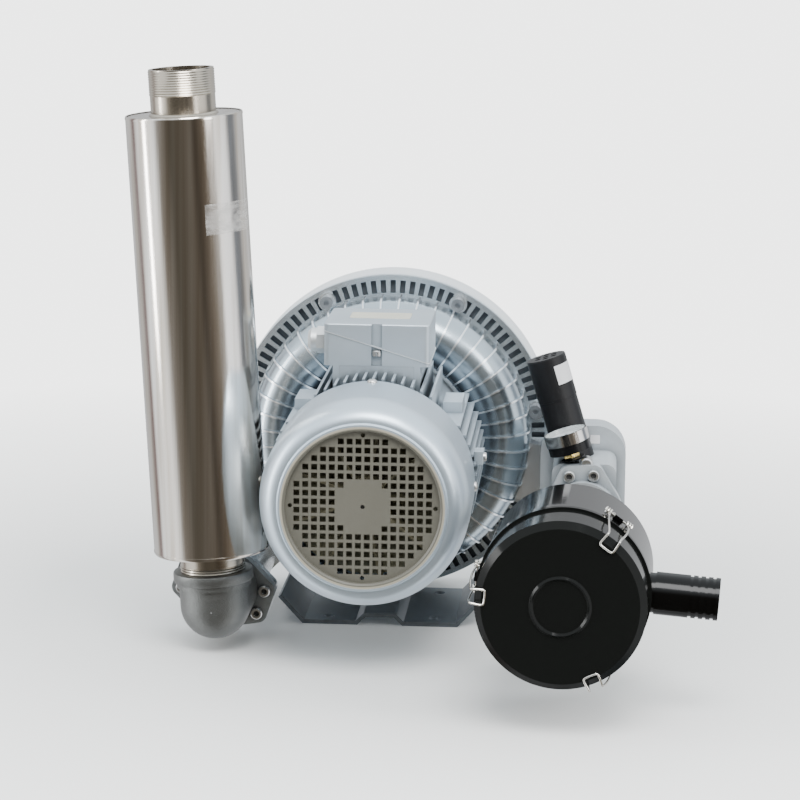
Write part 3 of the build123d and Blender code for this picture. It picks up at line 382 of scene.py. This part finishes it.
black_plastic = Finish("black_plastic", (0.004, 0.004, 0.0045), Roughness=0.3, Specular_IOR_Level=0.3)
black_plastic.set(Roughness=0.16 + black_plastic.noise(240, 3) * 0.16)
dress(black_plastic, "terminal_block")

box_low, box_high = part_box("terminal_box")
lid_low, lid_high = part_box("terminal_lid")
lid_screw = Vector((0, box_low.y + 0.0005, box_low.z + 0.029))
turned(
    "lid_screw",
    [(0, 0.0012), (0.0034, 0.0012), (0.0042, 0.0004), (0.0042, -0.004), (0, -0.004)],
    lid_screw, (0, 0, 1), plated, 24,
)

sticker = Finish("blank_sticker", (0.62, 0.60, 0.50), Roughness=0.35)
sticker.set(Base_Color=sticker.blend(sticker.noise(60, 3), rgb(0.55, 0.54, 0.44), rgb(0.66, 0.65, 0.55)))


def plate(name, place, size, finish):
    """A plate with its middle at a place and its upright corners eased."""
    mesh = bmesh.new()
    bmesh.ops.create_cube(mesh, size=1)
    bmesh.ops.scale(mesh, vec=size, verts=mesh.verts)
    upright = [edge for edge in mesh.edges if abs(edge.verts[0].co.z - edge.verts[1].co.z) > size[2] / 2]
    bmesh.ops.bevel(
        mesh, geom=upright, offset=min(size[0], size[1]) * 0.08, segments=4, profile=0.5,
        affect="EDGES", material=-1,
    )
    bmesh.ops.translate(mesh, vec=place, verts=mesh.verts)
    piece(name, mesh, finish)


lid_middle = (lid_low + lid_high) / 2
plate("lid_label", (lid_middle.x, lid_middle.y + 0.004, lid_high.z + 0.0001), (0.058, 0.034, 0.0003), sticker)

# The box joint is a raised lip that falls from left to right, and the cast
# neck under it is closed at the front.
lip_height, lip_reach = 0.0010, 0.0006
joint_rise_left, joint_rise_right = 0.033, 0.003
lip = bmesh.new()
bmesh.ops.create_cube(lip, size=1)
lip_size = (box_high.x - box_low.x + 2 * lip_reach, box_high.y - box_low.y + 2 * lip_reach, lip_height)
bmesh.ops.scale(lip, vec=lip_size, verts=lip.verts)
corners = [edge for edge in lip.edges if abs(edge.verts[0].co.z - edge.verts[1].co.z) > lip_height / 2]
bmesh.ops.bevel(lip, geom=corners, offset=0.0054, segments=6, profile=0.5, affect="EDGES", material=-1)
sunk = [face for face in lip.faces if abs(face.normal.z) > 0.9]
bmesh.ops.inset_region(lip, faces=sunk, thickness=0.003, use_even_offset=True)
box_floor = shaft_height + 0.103
box_width = 0.100
fall = Matrix.Identity(4)
fall[2][0] = (joint_rise_right - joint_rise_left) / box_width
middle = Vector((0, (box_low.y + box_high.y) / 2, box_floor + (joint_rise_left + joint_rise_right) / 2))
bmesh.ops.transform(lip, matrix=Matrix.Translation(middle) @ fall, verts=lip.verts)
# painted highlight: the joint lip is painted paler than the box along its edge
painted_highlight_lip = Finish("painted_highlight_lip", (0.78, 0.82, 0.85), Metallic=0.6, Roughness=0.3)
painted_highlight_lip.set(Roughness=0.26 + painted_highlight_lip.noise(300, 3) * 0.12)
piece("box_joint_lip", lip, painted_highlight_lip)

neck = bmesh.new()
bmesh.ops.create_cube(neck, size=1)
neck_size = (0.083, 0.004, 0.0165)
bmesh.ops.scale(neck, vec=neck_size, verts=neck.verts)
upright = [edge for edge in neck.edges if abs(edge.verts[0].co.z - edge.verts[1].co.z) > 0.001]
bmesh.ops.bevel(neck, geom=upright, offset=0.0015, segments=3, profile=0.5, affect="EDGES", material=-1)
neck_place = Vector((0, box_low.y + 0.0022, box_floor - neck_size[2] / 2 + 0.0003))
bmesh.ops.translate(neck, vec=neck_place, verts=neck.verts)
piece("box_neck_front", neck, cast_paint)

# Earth clamp cast on the right flank of the frame, with its plated screw.
clamp_place = Vector((0.0985, -0.145, shaft_height + 0.022))
plate("earth_lug", clamp_place, (0.009, 0.020, 0.012), cast_paint)
turned(
    "earth_screw",
    [(0, 0.0030), (0.0036, 0.0030), (0.0044, 0.0020), (0.0044, -0.002), (0, -0.002)],
    clamp_place + Vector((0.0045, -0.003, 0)), (1, 0, 0), plated, 20,
)

# painted shade: the rear cover, seen only through the casing's slots, is painted near black as the shade in
# the slots
slot_shade_casting = Finish("shaded_casting", (0.055, 0.06, 0.065), Metallic=0.4, Roughness=0.6)
slot_shade_casting.set(
    Base_Color=slot_shade_casting.blend(slot_shade_casting.noise(40, 4), rgb(0.07, 0.078, 0.085), rgb(0.13, 0.142, 0.155))
)
dress(slot_shade_casting, "rear_cover")
dress(cast_paint, "impeller")

# ------------------------------------------------------------------ channel casing and shroud
# Ribbed aluminium channel casting in silver-blue paint, with a painted highlight on
# the crests of its ribs and the face of its slotted ring, and painted shade darkening
# it down towards the motor. A smooth pale shroud is pressed over the back.
casing_paint = Finish("casing_paint", (0.44, 0.51, 0.56), Metallic=0.92, Roughness=0.25)
casing_cloud = casing_paint.noise(16, 5)
channel_radius, dome_y, ring_y, ring_face = 0.112, 0.044, 0.0715, 0.002
shaded_root, lit_crown, root_spread = 0.086, 0.116, 5
rib_foot, rib_top, rib_spread = 0.0280, 0.0288, 20
from_shaft = off_shaft(casing_paint)
# painted shade: darker down towards the motor, by distance from the shaft
casing_shade = casing_paint.mask(from_shaft * root_spread, shaded_root * root_spread, lit_crown * root_spread)
across = from_shaft - channel_radius
depth = casing_paint.split(casing_paint.place)[1]
ahead = (depth - dome_y).math("MINIMUM", 0.0)
proud = (across * across + ahead * ahead).math("SQRT")
# painted highlight: a pale band on the crests of the ribs
crests = casing_paint.mask(proud * rib_spread, rib_foot * rib_spread, rib_top * rib_spread)
rib_highlight = crests * depth.math("LESS_THAN", ring_y)
painted = casing_paint.blend(casing_cloud, rgb(0.38, 0.45, 0.50), rgb(0.50, 0.57, 0.62))
# painted highlight: a pale band on the face of the slotted ring
ring_highlight = depth.math("GREATER_THAN", ring_y) * depth.math("LESS_THAN", ring_y + ring_face)
painted = casing_paint.blend(ring_highlight, painted, rgb(0.66, 0.72, 0.76))
casing_paint.set(
    Base_Color=casing_paint.blend(
        rib_highlight, casing_paint.blend(casing_shade, rgb(0.12, 0.15, 0.18), painted), rgb(0.82, 0.86, 0.89)
    ),
    Roughness=0.20 + casing_cloud * 0.10,
)
dress(casing_paint, "channel_casing")

shroud_paint = Finish("pale_shroud_paint", (0.72, 0.74, 0.75), Roughness=0.42)
peel = shroud_paint.noise(500, 2)
shroud_paint.set(
    Base_Color=shroud_paint.blend(shroud_paint.noise(7, 3), rgb(0.72, 0.76, 0.78), rgb(0.79, 0.82, 0.835)),
    Roughness=0.36 + peel * 0.12,
)
shroud_paint.bump(peel, 0.1, 0.0002)
dress(shroud_paint, "rear_shroud")
dark_screw = Finish("dark_screw", (0.12, 0.12, 0.125), Metallic=0.8, Roughness=0.35)
oiled = dark_screw.noise(240, 3)
dark_screw.set(
    Base_Color=dark_screw.blend(oiled, rgb(0.26, 0.28, 0.30), rgb(0.40, 0.43, 0.46)),
    Roughness=0.28 + oiled * 0.2,
)
dress(dark_screw, *[f"casing_bolt_{n}" for n in range(1, 7)])
dress(plated, "foot_bolt_1", "foot_bolt_2")

# ------------------------------------------------------------------ foot
# Foot pressed from steel sheet, in dark blue-grey paint that has worn paler in
# patches, and bolted up under the casing.
foot_paint = Finish("foot_paint", (0.40, 0.46, 0.52), Metallic=0.6, Roughness=0.28)
foot_wear = foot_paint.noise(120, 5)
foot_paint.set(
    Base_Color=foot_paint.blend(foot_wear, rgb(0.11, 0.13, 0.15), rgb(0.20, 0.23, 0.26)),
    Roughness=0.26 + foot_wear * 0.2,
)
dress(foot_paint, "foot")

# ------------------------------------------------------------------ outlet flange and elbow
# Cast flange in a darker mottled finish with painted shade in its corners, held by
# four socket screws, with a malleable iron elbow on it that has a raised band round its mouth.
grey_iron = Finish("galvanised_iron", (0.26, 0.26, 0.25), Metallic=0.85, Roughness=0.4)
pits = grey_iron.noise(800, 4)
stain = grey_iron.noise(24, 5)
grey_iron.set(
    Base_Color=grey_iron.blend(stain, rgb(0.11, 0.115, 0.11), rgb(0.24, 0.245, 0.24)),
    Roughness=0.30 + pits * 0.22,
)
grey_iron.bump(pits, 0.6, 0.0006)
dress(grey_iron, "elbow")
flange_paint = Finish("flange_paint", (0.40, 0.43, 0.45), Metallic=0.5, Roughness=0.4)
flange_skin = flange_paint.noise(400, 5)
# painted shade: a dark colour in the corners and gaps of the inlet flange and plenum
flange_shade = flange_paint.corner_shade(0.010)
flange_coat = flange_paint.blend(flange_paint.noise(40, 5), rgb(0.44, 0.48, 0.51), rgb(0.66, 0.70, 0.725))
flange_paint.set(
    Base_Color=flange_paint.blend(flange_shade, rgb(0.08, 0.09, 0.10), flange_coat),
    Roughness=0.28 + flange_skin * 0.2,
)
flange_paint.bump(flange_skin, 0.3, 0.0005)
dress(flange_paint, "inlet_flange", "inlet_plenum")
raw_flange = Finish("mottled_flange", (0.30, 0.32, 0.32), Metallic=0.7, Roughness=0.38)
flange_mottle = raw_flange.noise(45, 5)
# painted shade in the corners and gaps, over darker and lighter mottle
raw_flange.set(
    Base_Color=raw_flange.blend(
        raw_flange.corner_shade(0.010), rgb(0.04, 0.045, 0.05),
        raw_flange.blend(flange_mottle, rgb(0.22, 0.24, 0.25), rgb(0.48, 0.50, 0.51)),
    ),
    Roughness=0.28 + flange_mottle * 0.2,
)
raw_flange.bump(raw_flange.noise(400, 5), 0.3, 0.0005)
dress(raw_flange, "outlet_flange")

dark_socket = Finish("socket_shadow", (0.02, 0.02, 0.02), Roughness=0.6)
head_radius, head_height, socket_radius = 0.0056, 0.0050, 0.0030
bolt_circle, bolt_angle = 0.040, radians(17)


def flange_screws(name, centre, tilt):
    """Two socket screws at each end of a flange that faces the cowl."""
    angles = (tilt + bolt_angle, tilt - bolt_angle, tilt + pi + bolt_angle, tilt + pi - bolt_angle)
    for number, angle in enumerate(angles, start=1):
        seat = centre + Vector((cos(angle), 0, sin(angle))) * bolt_circle
        turned(
            f"{name}_{number}",
            [(0, head_height * 0.4), (socket_radius, head_height * 0.4), (socket_radius, head_height),
             (head_radius - 0.0008, head_height), (head_radius, head_height - 0.0008),
             (head_radius, -0.0005), (0, -0.0005)],
            seat, (0, -1, 0), plated, 24,
        )
        turned(
            f"{name}_{number}_socket",
            [(0, head_height * 0.44), (socket_radius - 0.0002, head_height * 0.44)],
            seat, (0, -1, 0), dark_socket, 12,
        )


outlet_axis = Vector((-0.148, 0, shaft_height - 0.121))
flange_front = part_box("outlet_flange")[0].y
flange_screws("outlet_screw", Vector((outlet_axis.x, flange_front, outlet_axis.z)), radians(-18.5))

# ------------------------------------------------------------------ silencer
# Polished stainless tube with end caps rolled in, on 2 inch pipe ends; the
# upper end has an open thread and a strip of frosted tape is stuck round.
silencer_lean = radians(3.46)
silencer_axis = Vector((-sin(silencer_lean), 0, cos(silencer_lean)))
silencer_root = Vector((outlet_axis.x, -0.172, outlet_axis.z))
silencer_radius, silencer_foot, silencer_head, stub_end = 0.054, 0.054, 0.464, 0.506
stainless = Finish("polished_stainless", (0.62, 0.58, 0.54), Metallic=1.0, Roughness=0.14)
draw_lines = stainless.noise(900, 2, (1, 1, 0.012))
smear = stainless.noise(11, 4, (1, 1, 0.4))
streaks = stainless.noise(75, 3, (1, 1, 0.015))
wiped = stainless.blend(smear, rgb(0.68, 0.64, 0.59), rgb(0.80, 0.79, 0.78))
stainless.set(
    Base_Color=stainless.blend(stainless.mask(streaks, 0.38, 0.66), rgb(0.48, 0.43, 0.37), wiped),
    Roughness=0.06 + smear * 0.08 + draw_lines * 0.08,
)
stainless.bump(draw_lines, 0.12, 0.0002)
dress(stainless, "silencer_shell")
pipe_steel = Finish("pipe_steel", (0.42, 0.38, 0.32), Metallic=1.0, Roughness=0.22)
pipe_lines = pipe_steel.noise(500, 3, (1, 1, 0.03))
pipe_steel.set(Roughness=0.16 + pipe_lines * 0.16)
dress(pipe_steel, "silencer_pipe", "inlet_nipple")
wool = Finish("mineral_wool", (0.60, 0.52, 0.30), Roughness=0.95)
wool.bump(wool.noise(150, 6), 0.8, 0.002)
dress(wool, "silencer_packing")


def thread(name, start, end, radius, pitch=0.0023, depth=0.0006):
    """Rings of thread round a pipe end on the silencer's axis."""
    profile = [(radius - 0.0004, start)]
    turns = int((end - start) / pitch)
    for turn_number in range(turns):
        foot = start + turn_number * pitch
        profile += [(radius + 0.00005, foot), (radius + depth, foot + pitch * 0.5)]
    profile += [(radius, start + turns * pitch), (radius - 0.0004, start + turns * pitch)]
    turned(name, profile, silencer_root, silencer_axis, pipe_steel, 64)


pipe_radius = 0.03015
thread("outlet_thread_rings", stub_end - 0.024, stub_end - 0.0008, pipe_radius)
thread("elbow_thread_rings", 0.0335, 0.0405, pipe_radius)
elbow_mouth, elbow_band, elbow_rim = 0.0335, 0.0095, 0.0378
turned(
    "elbow_rim",
    [(pipe_radius + 0.001, elbow_mouth + 0.0006), (elbow_rim - 0.002, elbow_mouth + 0.0006),
     (elbow_rim - 0.0005, elbow_mouth), (elbow_rim, elbow_mouth - 0.0015),
     (elbow_rim, elbow_mouth - elbow_band + 0.0015), (elbow_rim - 0.001, elbow_mouth - elbow_band),
     (pipe_radius + 0.001, elbow_mouth - elbow_band)],
    silencer_root, silencer_axis, grey_iron, 96,
)
for number, height in enumerate((silencer_foot, silencer_head), start=1):
    inward = 1 if number == 1 else -1
    turned(
        f"silencer_rim_{number}",
        [
            (silencer_radius - 0.0016, height - inward * 0.0005),
            (silencer_radius - 0.0004, height - inward * 0.0008),
            (silencer_radius + 0.0003, height + inward * 0.0004),
            (silencer_radius + 0.0003, height + inward * 0.0022),
            (silencer_radius - 0.0016, height + inward * 0.0026),
        ],
        silencer_root, silencer_axis, stainless, 96,
    )
    turned(
        f"stub_weld_{number}",
        [(pipe_radius - 0.0003, height - inward * 0.0022), (pipe_radius + 0.0012, height - inward * 0.0014),
         (pipe_radius + 0.0022, height - inward * 0.0001), (pipe_radius - 0.0003, height + inward * 0.0004)],
        silencer_root, silencer_axis, pipe_steel, 96,
    )

tape = Finish("frosted_tape", (0.70, 0.69, 0.67), Roughness=0.55)
patchy = tape.noise(70, 4, (1, 1, 3))
tape.set(Alpha=tape.mask(patchy, 0.40, 0.62) * 0.18 + 0.07)
tape.material.surface_render_method = "BLENDED"
tape_low, tape_high = 0.357, 0.385
tape_mesh = bmesh.new()
lower = [
    tape_mesh.verts.new((silencer_radius + 0.0004, 0, height))
    for height in (tape_low, (tape_low + tape_high) / 2, tape_high)
]
bmesh.ops.rotate(tape_mesh, verts=lower, cent=(0, 0, 0), matrix=Matrix.Rotation(radians(-67), 3, "Z"))
tape_edges = [tape_mesh.edges.new(pair) for pair in zip(lower, lower[1:])]
bmesh.ops.spin(
    tape_mesh, geom=lower + tape_edges, cent=(0, 0, 0), axis=(0, 0, 1), angle=radians(60), steps=18
)
bmesh.ops.solidify(tape_mesh, geom=tape_mesh.faces, thickness=-0.00012)
tape_frame = Matrix.Translation(silencer_root) @ Matrix.Rotation(-silencer_lean, 4, "Y")
bmesh.ops.transform(tape_mesh, matrix=tape_frame, verts=tape_mesh.verts)
piece("tape_strip", tape_mesh, tape)

# ------------------------------------------------------------------ inlet flange
# Cast flange on the inlet plenum with socket screws at top and bottom and a
# round plug in the boss between the upper pair.
inlet_axis = Vector((0.197, 0, shaft_height - 0.047))
inlet_front = -0.080
flange_screws("inlet_screw", Vector((inlet_axis.x, inlet_front, inlet_axis.z)), radians(93.9))
plug_place = Vector((inlet_axis.x + 0.0022, inlet_front + 0.006, inlet_axis.z + 0.0490))
turned(
    "inlet_plug",
    [(0, 0.004), (0.0046, 0.004), (0.0058, 0.0028), (0.0058, -0.012), (0, -0.012)],
    plug_place, (0, -1, 0), plated, 24,
)

# ------------------------------------------------------------------ relief valve
# Black powder-coated tube with a perforated cap, a turned step half way up and
# a plain white label. Inside, a steel spring holds a brass poppet on its seat.
matt_black = Finish("matt_black", (0.007, 0.007, 0.008), Roughness=0.36, Specular_IOR_Level=0.35)
powder = matt_black.noise(600, 3)
matt_black.set(Roughness=0.34 + powder * 0.2)
matt_black.bump(powder, 0.15, 0.0002)
dress(matt_black, "relief_body")
brass = Finish("turned_brass", (0.70, 0.53, 0.20), Metallic=1.0, Roughness=0.25)
brass.set(Roughness=0.18 + brass.noise(200, 3) * 0.2)
dress(brass, "relief_poppet")
valve_lean = radians(17)
valve_axis = Vector((-sin(valve_lean), 0, cos(valve_lean)))
valve_foot = Vector((0.186, -0.017, shaft_height))
coils = bmesh.new()
coils.from_mesh(nodes["relief_spring"].data)
bmesh.ops.transform(coils, matrix=nodes["relief_spring"].matrix_world, verts=coils.verts)
pressed_spring = piece("relief_coils", coils, plated)
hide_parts("relief_spring")
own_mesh(pressed_spring)
valve_radius = 0.019
white_label = Finish("white_label", (0.72, 0.72, 0.72), Roughness=0.4)
white_label.set(
    Base_Color=white_label.blend(white_label.noise(90, 3), rgb(0.64, 0.64, 0.65), rgb(0.76, 0.76, 0.76))
)
label_mesh = bmesh.new()
label_edge = [label_mesh.verts.new((valve_radius + 0.0006, 0, height)) for height in (0.0725, 0.082, 0.0915)]
label_edges = [label_mesh.edges.new(pair) for pair in zip(label_edge, label_edge[1:])]
bmesh.ops.rotate(label_mesh, verts=label_edge, cent=(0, 0, 0), matrix=Matrix.Rotation(radians(-72), 3, "Z"))
bmesh.ops.spin(
    label_mesh, geom=label_edge + label_edges, cent=(0, 0, 0), axis=(0, 0, 1), angle=radians(92), steps=18
)
bmesh.ops.solidify(label_mesh, geom=label_mesh.faces, thickness=-0.00015)
valve_frame = Matrix.Translation(valve_foot) @ Matrix.Rotation(-valve_lean, 4, "Y")
bmesh.ops.transform(label_mesh, matrix=valve_frame, verts=label_mesh.verts)
piece("valve_label", label_mesh, white_label)
turned(
    "valve_collar",
    [(valve_radius - 0.0004, 0.0570), (valve_radius + 0.0004, 0.0576), (valve_radius + 0.0004, 0.0990),
     (valve_radius - 0.0004, 0.0996)],
    valve_foot, valve_axis, matt_black, 64,
)

# ------------------------------------------------------------------ pressure gauge
# Bottom-stem gauge: black case, polished bezel, white enamel dial with ticks
# and plain numbers, clear glass and a brass hexagon on the stem.
chrome = Finish("polished_bezel", (0.75, 0.74, 0.72), Metallic=1.0, Roughness=0.12)
chrome.set(Roughness=0.08 + chrome.noise(140, 3) * 0.12)
dress(chrome, "gauge_bezel")
dress(black_plastic, "gauge_case", "gauge_pointer")
glass = Finish("gauge_glass", (0.85, 0.93, 0.95), Roughness=0.03, IOR=1.45, Alpha=0.22)
glass.set(Roughness=0.02 + glass.noise(50, 2) * 0.04)
glass.material.surface_render_method = "BLENDED"
dress(glass, "gauge_glass")
gauge_line, gauge_setback = -0.067, 0.0215 / 3
gauge_foot = Vector((0.187, gauge_line + gauge_setback, shaft_height))
gauge_face = Matrix.Translation(gauge_foot) @ Matrix.Rotation(-valve_lean, 4, "Y")
dial_height, dial_radius, dial_start, print_gap = 0.0272, 0.0196, -225, 0.00012
enamel = Finish("dial_enamel", (0.80, 0.81, 0.80), Roughness=0.3)
enamel.set(Base_Color=enamel.blend(enamel.noise(80, 2), rgb(0.76, 0.77, 0.76), rgb(0.84, 0.85, 0.84)))
ink = Finish("dial_ink", (0.02, 0.02, 0.02), Roughness=0.5)
ink.set(Roughness=0.4 + ink.noise(200, 2) * 0.2)
dial = bmesh.new()
bmesh.ops.create_circle(dial, cap_ends=True, segments=64, radius=dial_radius)
bmesh.ops.transform(dial, matrix=gauge_face @ Matrix.Translation((0, 0, dial_height)), verts=dial.verts)
piece("gauge_dial", dial, enamel)
ticks = bmesh.new()
for step in range(31):
    long_tick = step % 5 == 0
    length, width = (0.0034, 0.00045) if long_tick else (0.0018, 0.00022)
    bar = bmesh.ops.create_grid(ticks, x_segments=1, y_segments=1, size=0.5)["verts"]
    bmesh.ops.scale(ticks, vec=(width, length, 1), verts=bar)
    bmesh.ops.translate(ticks, vec=(0, 0.0178 - length / 2, dial_height + print_gap), verts=bar)
    at_tick = Matrix.Rotation(radians(dial_start + 9 * step), 3, "Z")
    bmesh.ops.rotate(ticks, verts=bar, cent=(0, 0, 0), matrix=at_tick)
bmesh.ops.transform(ticks, matrix=gauge_face, verts=ticks.verts)
piece("gauge_ticks", ticks, ink, smooth=False)
for step in range(0, 7):
    angle = radians(dial_start + 45 * step)
    curve = bpy.data.curves.new(f"number_{step}", "FONT")
    curve.body, curve.size, curve.align_x, curve.align_y = str((6 - step) * 10), 0.0042, "CENTER", "CENTER"
    text = bpy.data.objects.new(f"number_{step}", curve)
    flat = bpy.data.meshes.new_from_object(text)
    bpy.data.objects.remove(text)
    number_mesh = bmesh.new()
    number_mesh.from_mesh(flat)
    spot = Matrix.Rotation(angle, 4, "Z") @ Matrix.Translation((0, 0.0119, dial_height + print_gap))
    upright_spot = gauge_face @ spot @ Matrix.Rotation(-angle, 4, "Z")
    bmesh.ops.transform(number_mesh, matrix=upright_spot, verts=number_mesh.verts)
    piece(f"gauge_number_{step}", number_mesh, ink, smooth=False)
plate("plenum_label", (0.2065, 0.0028, shaft_height + 0.0105), (0.0095, 0.0005, 0.0085), white_label)
turned(
    "gauge_washer",
    [(0.0055, 0.0004), (0.0115, 0.0004), (0.0120, 0.0012), (0.0115, 0.0020), (0.0055, 0.0020)],
    gauge_foot + valve_axis * 0.003, valve_axis, black_plastic, 32,
)
hexagon = bmesh.new()
bmesh.ops.create_cone(hexagon, cap_ends=True, segments=6, radius1=0.0086, radius2=0.0086, depth=0.006)
bmesh.ops.bevel(
    hexagon, geom=hexagon.edges[:], offset=0.0005, segments=2, profile=0.5, affect="EDGES", material=-1
)
bmesh.ops.transform(hexagon, matrix=gauge_face @ Matrix.Translation((0, 0, 0.0085)), verts=hexagon.verts)
piece("gauge_hexagon", hexagon, brass)

# ------------------------------------------------------------------ inlet filter
# Spun steel canister and cover in deep black enamel round a pleated paper
# element, with a moulded black hose tail in the canister's side.
enamel_black = Finish("black_enamel", (0.0015, 0.0015, 0.0015), Roughness=0.09, Specular_IOR_Level=0.45)
orange_peel = enamel_black.noise(220, 2)
enamel_black.set(Roughness=0.05 + enamel_black.noise(12, 4) * 0.07)
enamel_black.bump(orange_peel, 0.05, 0.0003)
dress(enamel_black, "filter_can")
lid_black = Finish("lid_black", (0.006, 0.0065, 0.006), Roughness=0.1, Specular_IOR_Level=0.09)
lid_black.set(Roughness=0.07 + lid_black.noise(12, 4) * 0.08)
dress(lid_black, "filter_lid")
tail_black = Finish("tail_black", (0.0015, 0.0015, 0.0015), Roughness=0.14, Specular_IOR_Level=0.22)
tail_black.set(Roughness=0.10 + tail_black.noise(240, 3) * 0.10)
dress(tail_black, "hose_barb")
paper = Finish("filter_paper", (0.75, 0.66, 0.42), Roughness=0.9)
paper.bump(paper.noise(300, 2, (1, 0.02, 1)), 0.7, 0.001)
dress(paper, "filter_element")

# ------------------------------------------------------------------ wire clips
# Spring-wire bails that hinge in brackets on the canister: two bowed sides,
# a squared hook over the cover's edge, and a small coil round each pivot.
inlet_swing = radians(2.4)
inlet_origin = Vector((inlet_axis.x, inlet_front, inlet_axis.z))
filter_axis = Vector((sin(inlet_swing), cos(inlet_swing), 0))
filter_side = Vector((cos(inlet_swing), -sin(inlet_swing), 0))
wire_radius, clip_pivot, pivot_radius, cover_front = 0.00095, -0.284, 0.0776, -0.353


def beside_filter(along_axis, radial, across, angle):
    """A point at an angle clockwise from straight up, seen from the cover."""
    sideways = radial * sin(angle) + across * cos(angle)
    upwards = radial * cos(angle) - across * sin(angle)
    return inlet_origin + filter_axis * along_axis + filter_side * sideways + Vector((0, 0, upwards))


def wire(name, points, body, replaced=None, closed=False):
    """A round wire bent smoothly through its points."""
    curve = bpy.data.curves.new(name, "CURVE")
    curve.dimensions, curve.bevel_depth, curve.bevel_resolution = "3D", wire_radius, 3
    curve.use_fill_caps = True
    spline = curve.splines.new("NURBS")
    spline.points.add(len(points) - 1)
    for point, place in zip(spline.points, points):
        point.co = (*place, 1)
    spline.order_u, spline.use_endpoint_u, spline.use_cyclic_u, spline.resolution_u = 3, not closed, closed, 6
    bent = bpy.data.objects.new(name, curve)
    solid = bpy.data.meshes.new_from_object(bent)
    bpy.data.objects.remove(bent)
    mesh = bmesh.new()
    mesh.from_mesh(solid)
    made = piece(name, mesh, spring_wire, body=body)
    if replaced:
        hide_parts(replaced)


spring_wire = Finish("drawn_spring_wire", (0.66, 0.64, 0.58), Metallic=1.0, Roughness=0.2)
spring_wire.set(
    Base_Color=spring_wire.blend(spring_wire.noise(60, 3), rgb(0.55, 0.52, 0.45), rgb(0.78, 0.77, 0.74)),
    Roughness=0.14 + spring_wire.noise(400, 3) * 0.16,
)
dress(spring_wire, "wire_clip_1", "wire_clip_2", "wire_clip_3")
hook_along, hook_radial = cover_front - 0.0014, 0.0655
for number, degrees_round in enumerate((35.5, 155.5, 275.5), start=1):
    angle = radians(degrees_round)
    half = [
        (clip_pivot, pivot_radius, 0.0015),
        (clip_pivot, pivot_radius, 0.0072),
        (clip_pivot, pivot_radius, 0.0092),
        (clip_pivot - 0.008, 0.0788, 0.0098),
        (clip_pivot - 0.030, 0.0800, 0.0104),
        (clip_pivot - 0.052, 0.0796, 0.0086),
        (cover_front + 0.004, 0.0782, 0.0062),
        (hook_along, 0.0770, 0.0060),
        (hook_along, 0.0745, 0.0064),
        (hook_along, hook_radial, 0.0072),
        (hook_along, hook_radial - 0.0008, 0.0040),
    ]
    bail = [beside_filter(*point, angle) for point in half]
    bail += [beside_filter(a, r, -c, angle) for a, r, c in reversed(half)]
    wire(f"clip_{number}_bail", bail, f"clip_{number}", f"wire_clip_{number}", closed=True)
    for hand in (-1, 1):
        turns, coil_radius = 2.5, 0.0027
        coil = [
            beside_filter(
                clip_pivot + coil_radius * cos(step * pi / 4),
                pivot_radius + coil_radius * sin(step * pi / 4),
                hand * (0.0082 + 0.0023 * step / 8),
                angle,
            )
            for step in range(int(turns * 8) + 1)
        ]
        wire(f"clip_{number}_coil_{'left' if hand < 0 else 'right'}", coil, f"clip_{number}")
    eye = [
        beside_filter(clip_pivot + back, radial, across, angle)
        for back, radial, across in (
            (0.0046, 0.0756, 0.0050), (0.010, 0.0754, 0.0066), (0.017, 0.0753, 0.0050), (0.0195, 0.0753, 0.0),
            (0.017, 0.0753, -0.0050), (0.010, 0.0754, -0.0066), (0.0046, 0.0756, -0.0050),
        )
    ]
    wire(f"clip_{number}_keeper", eye, "blower")
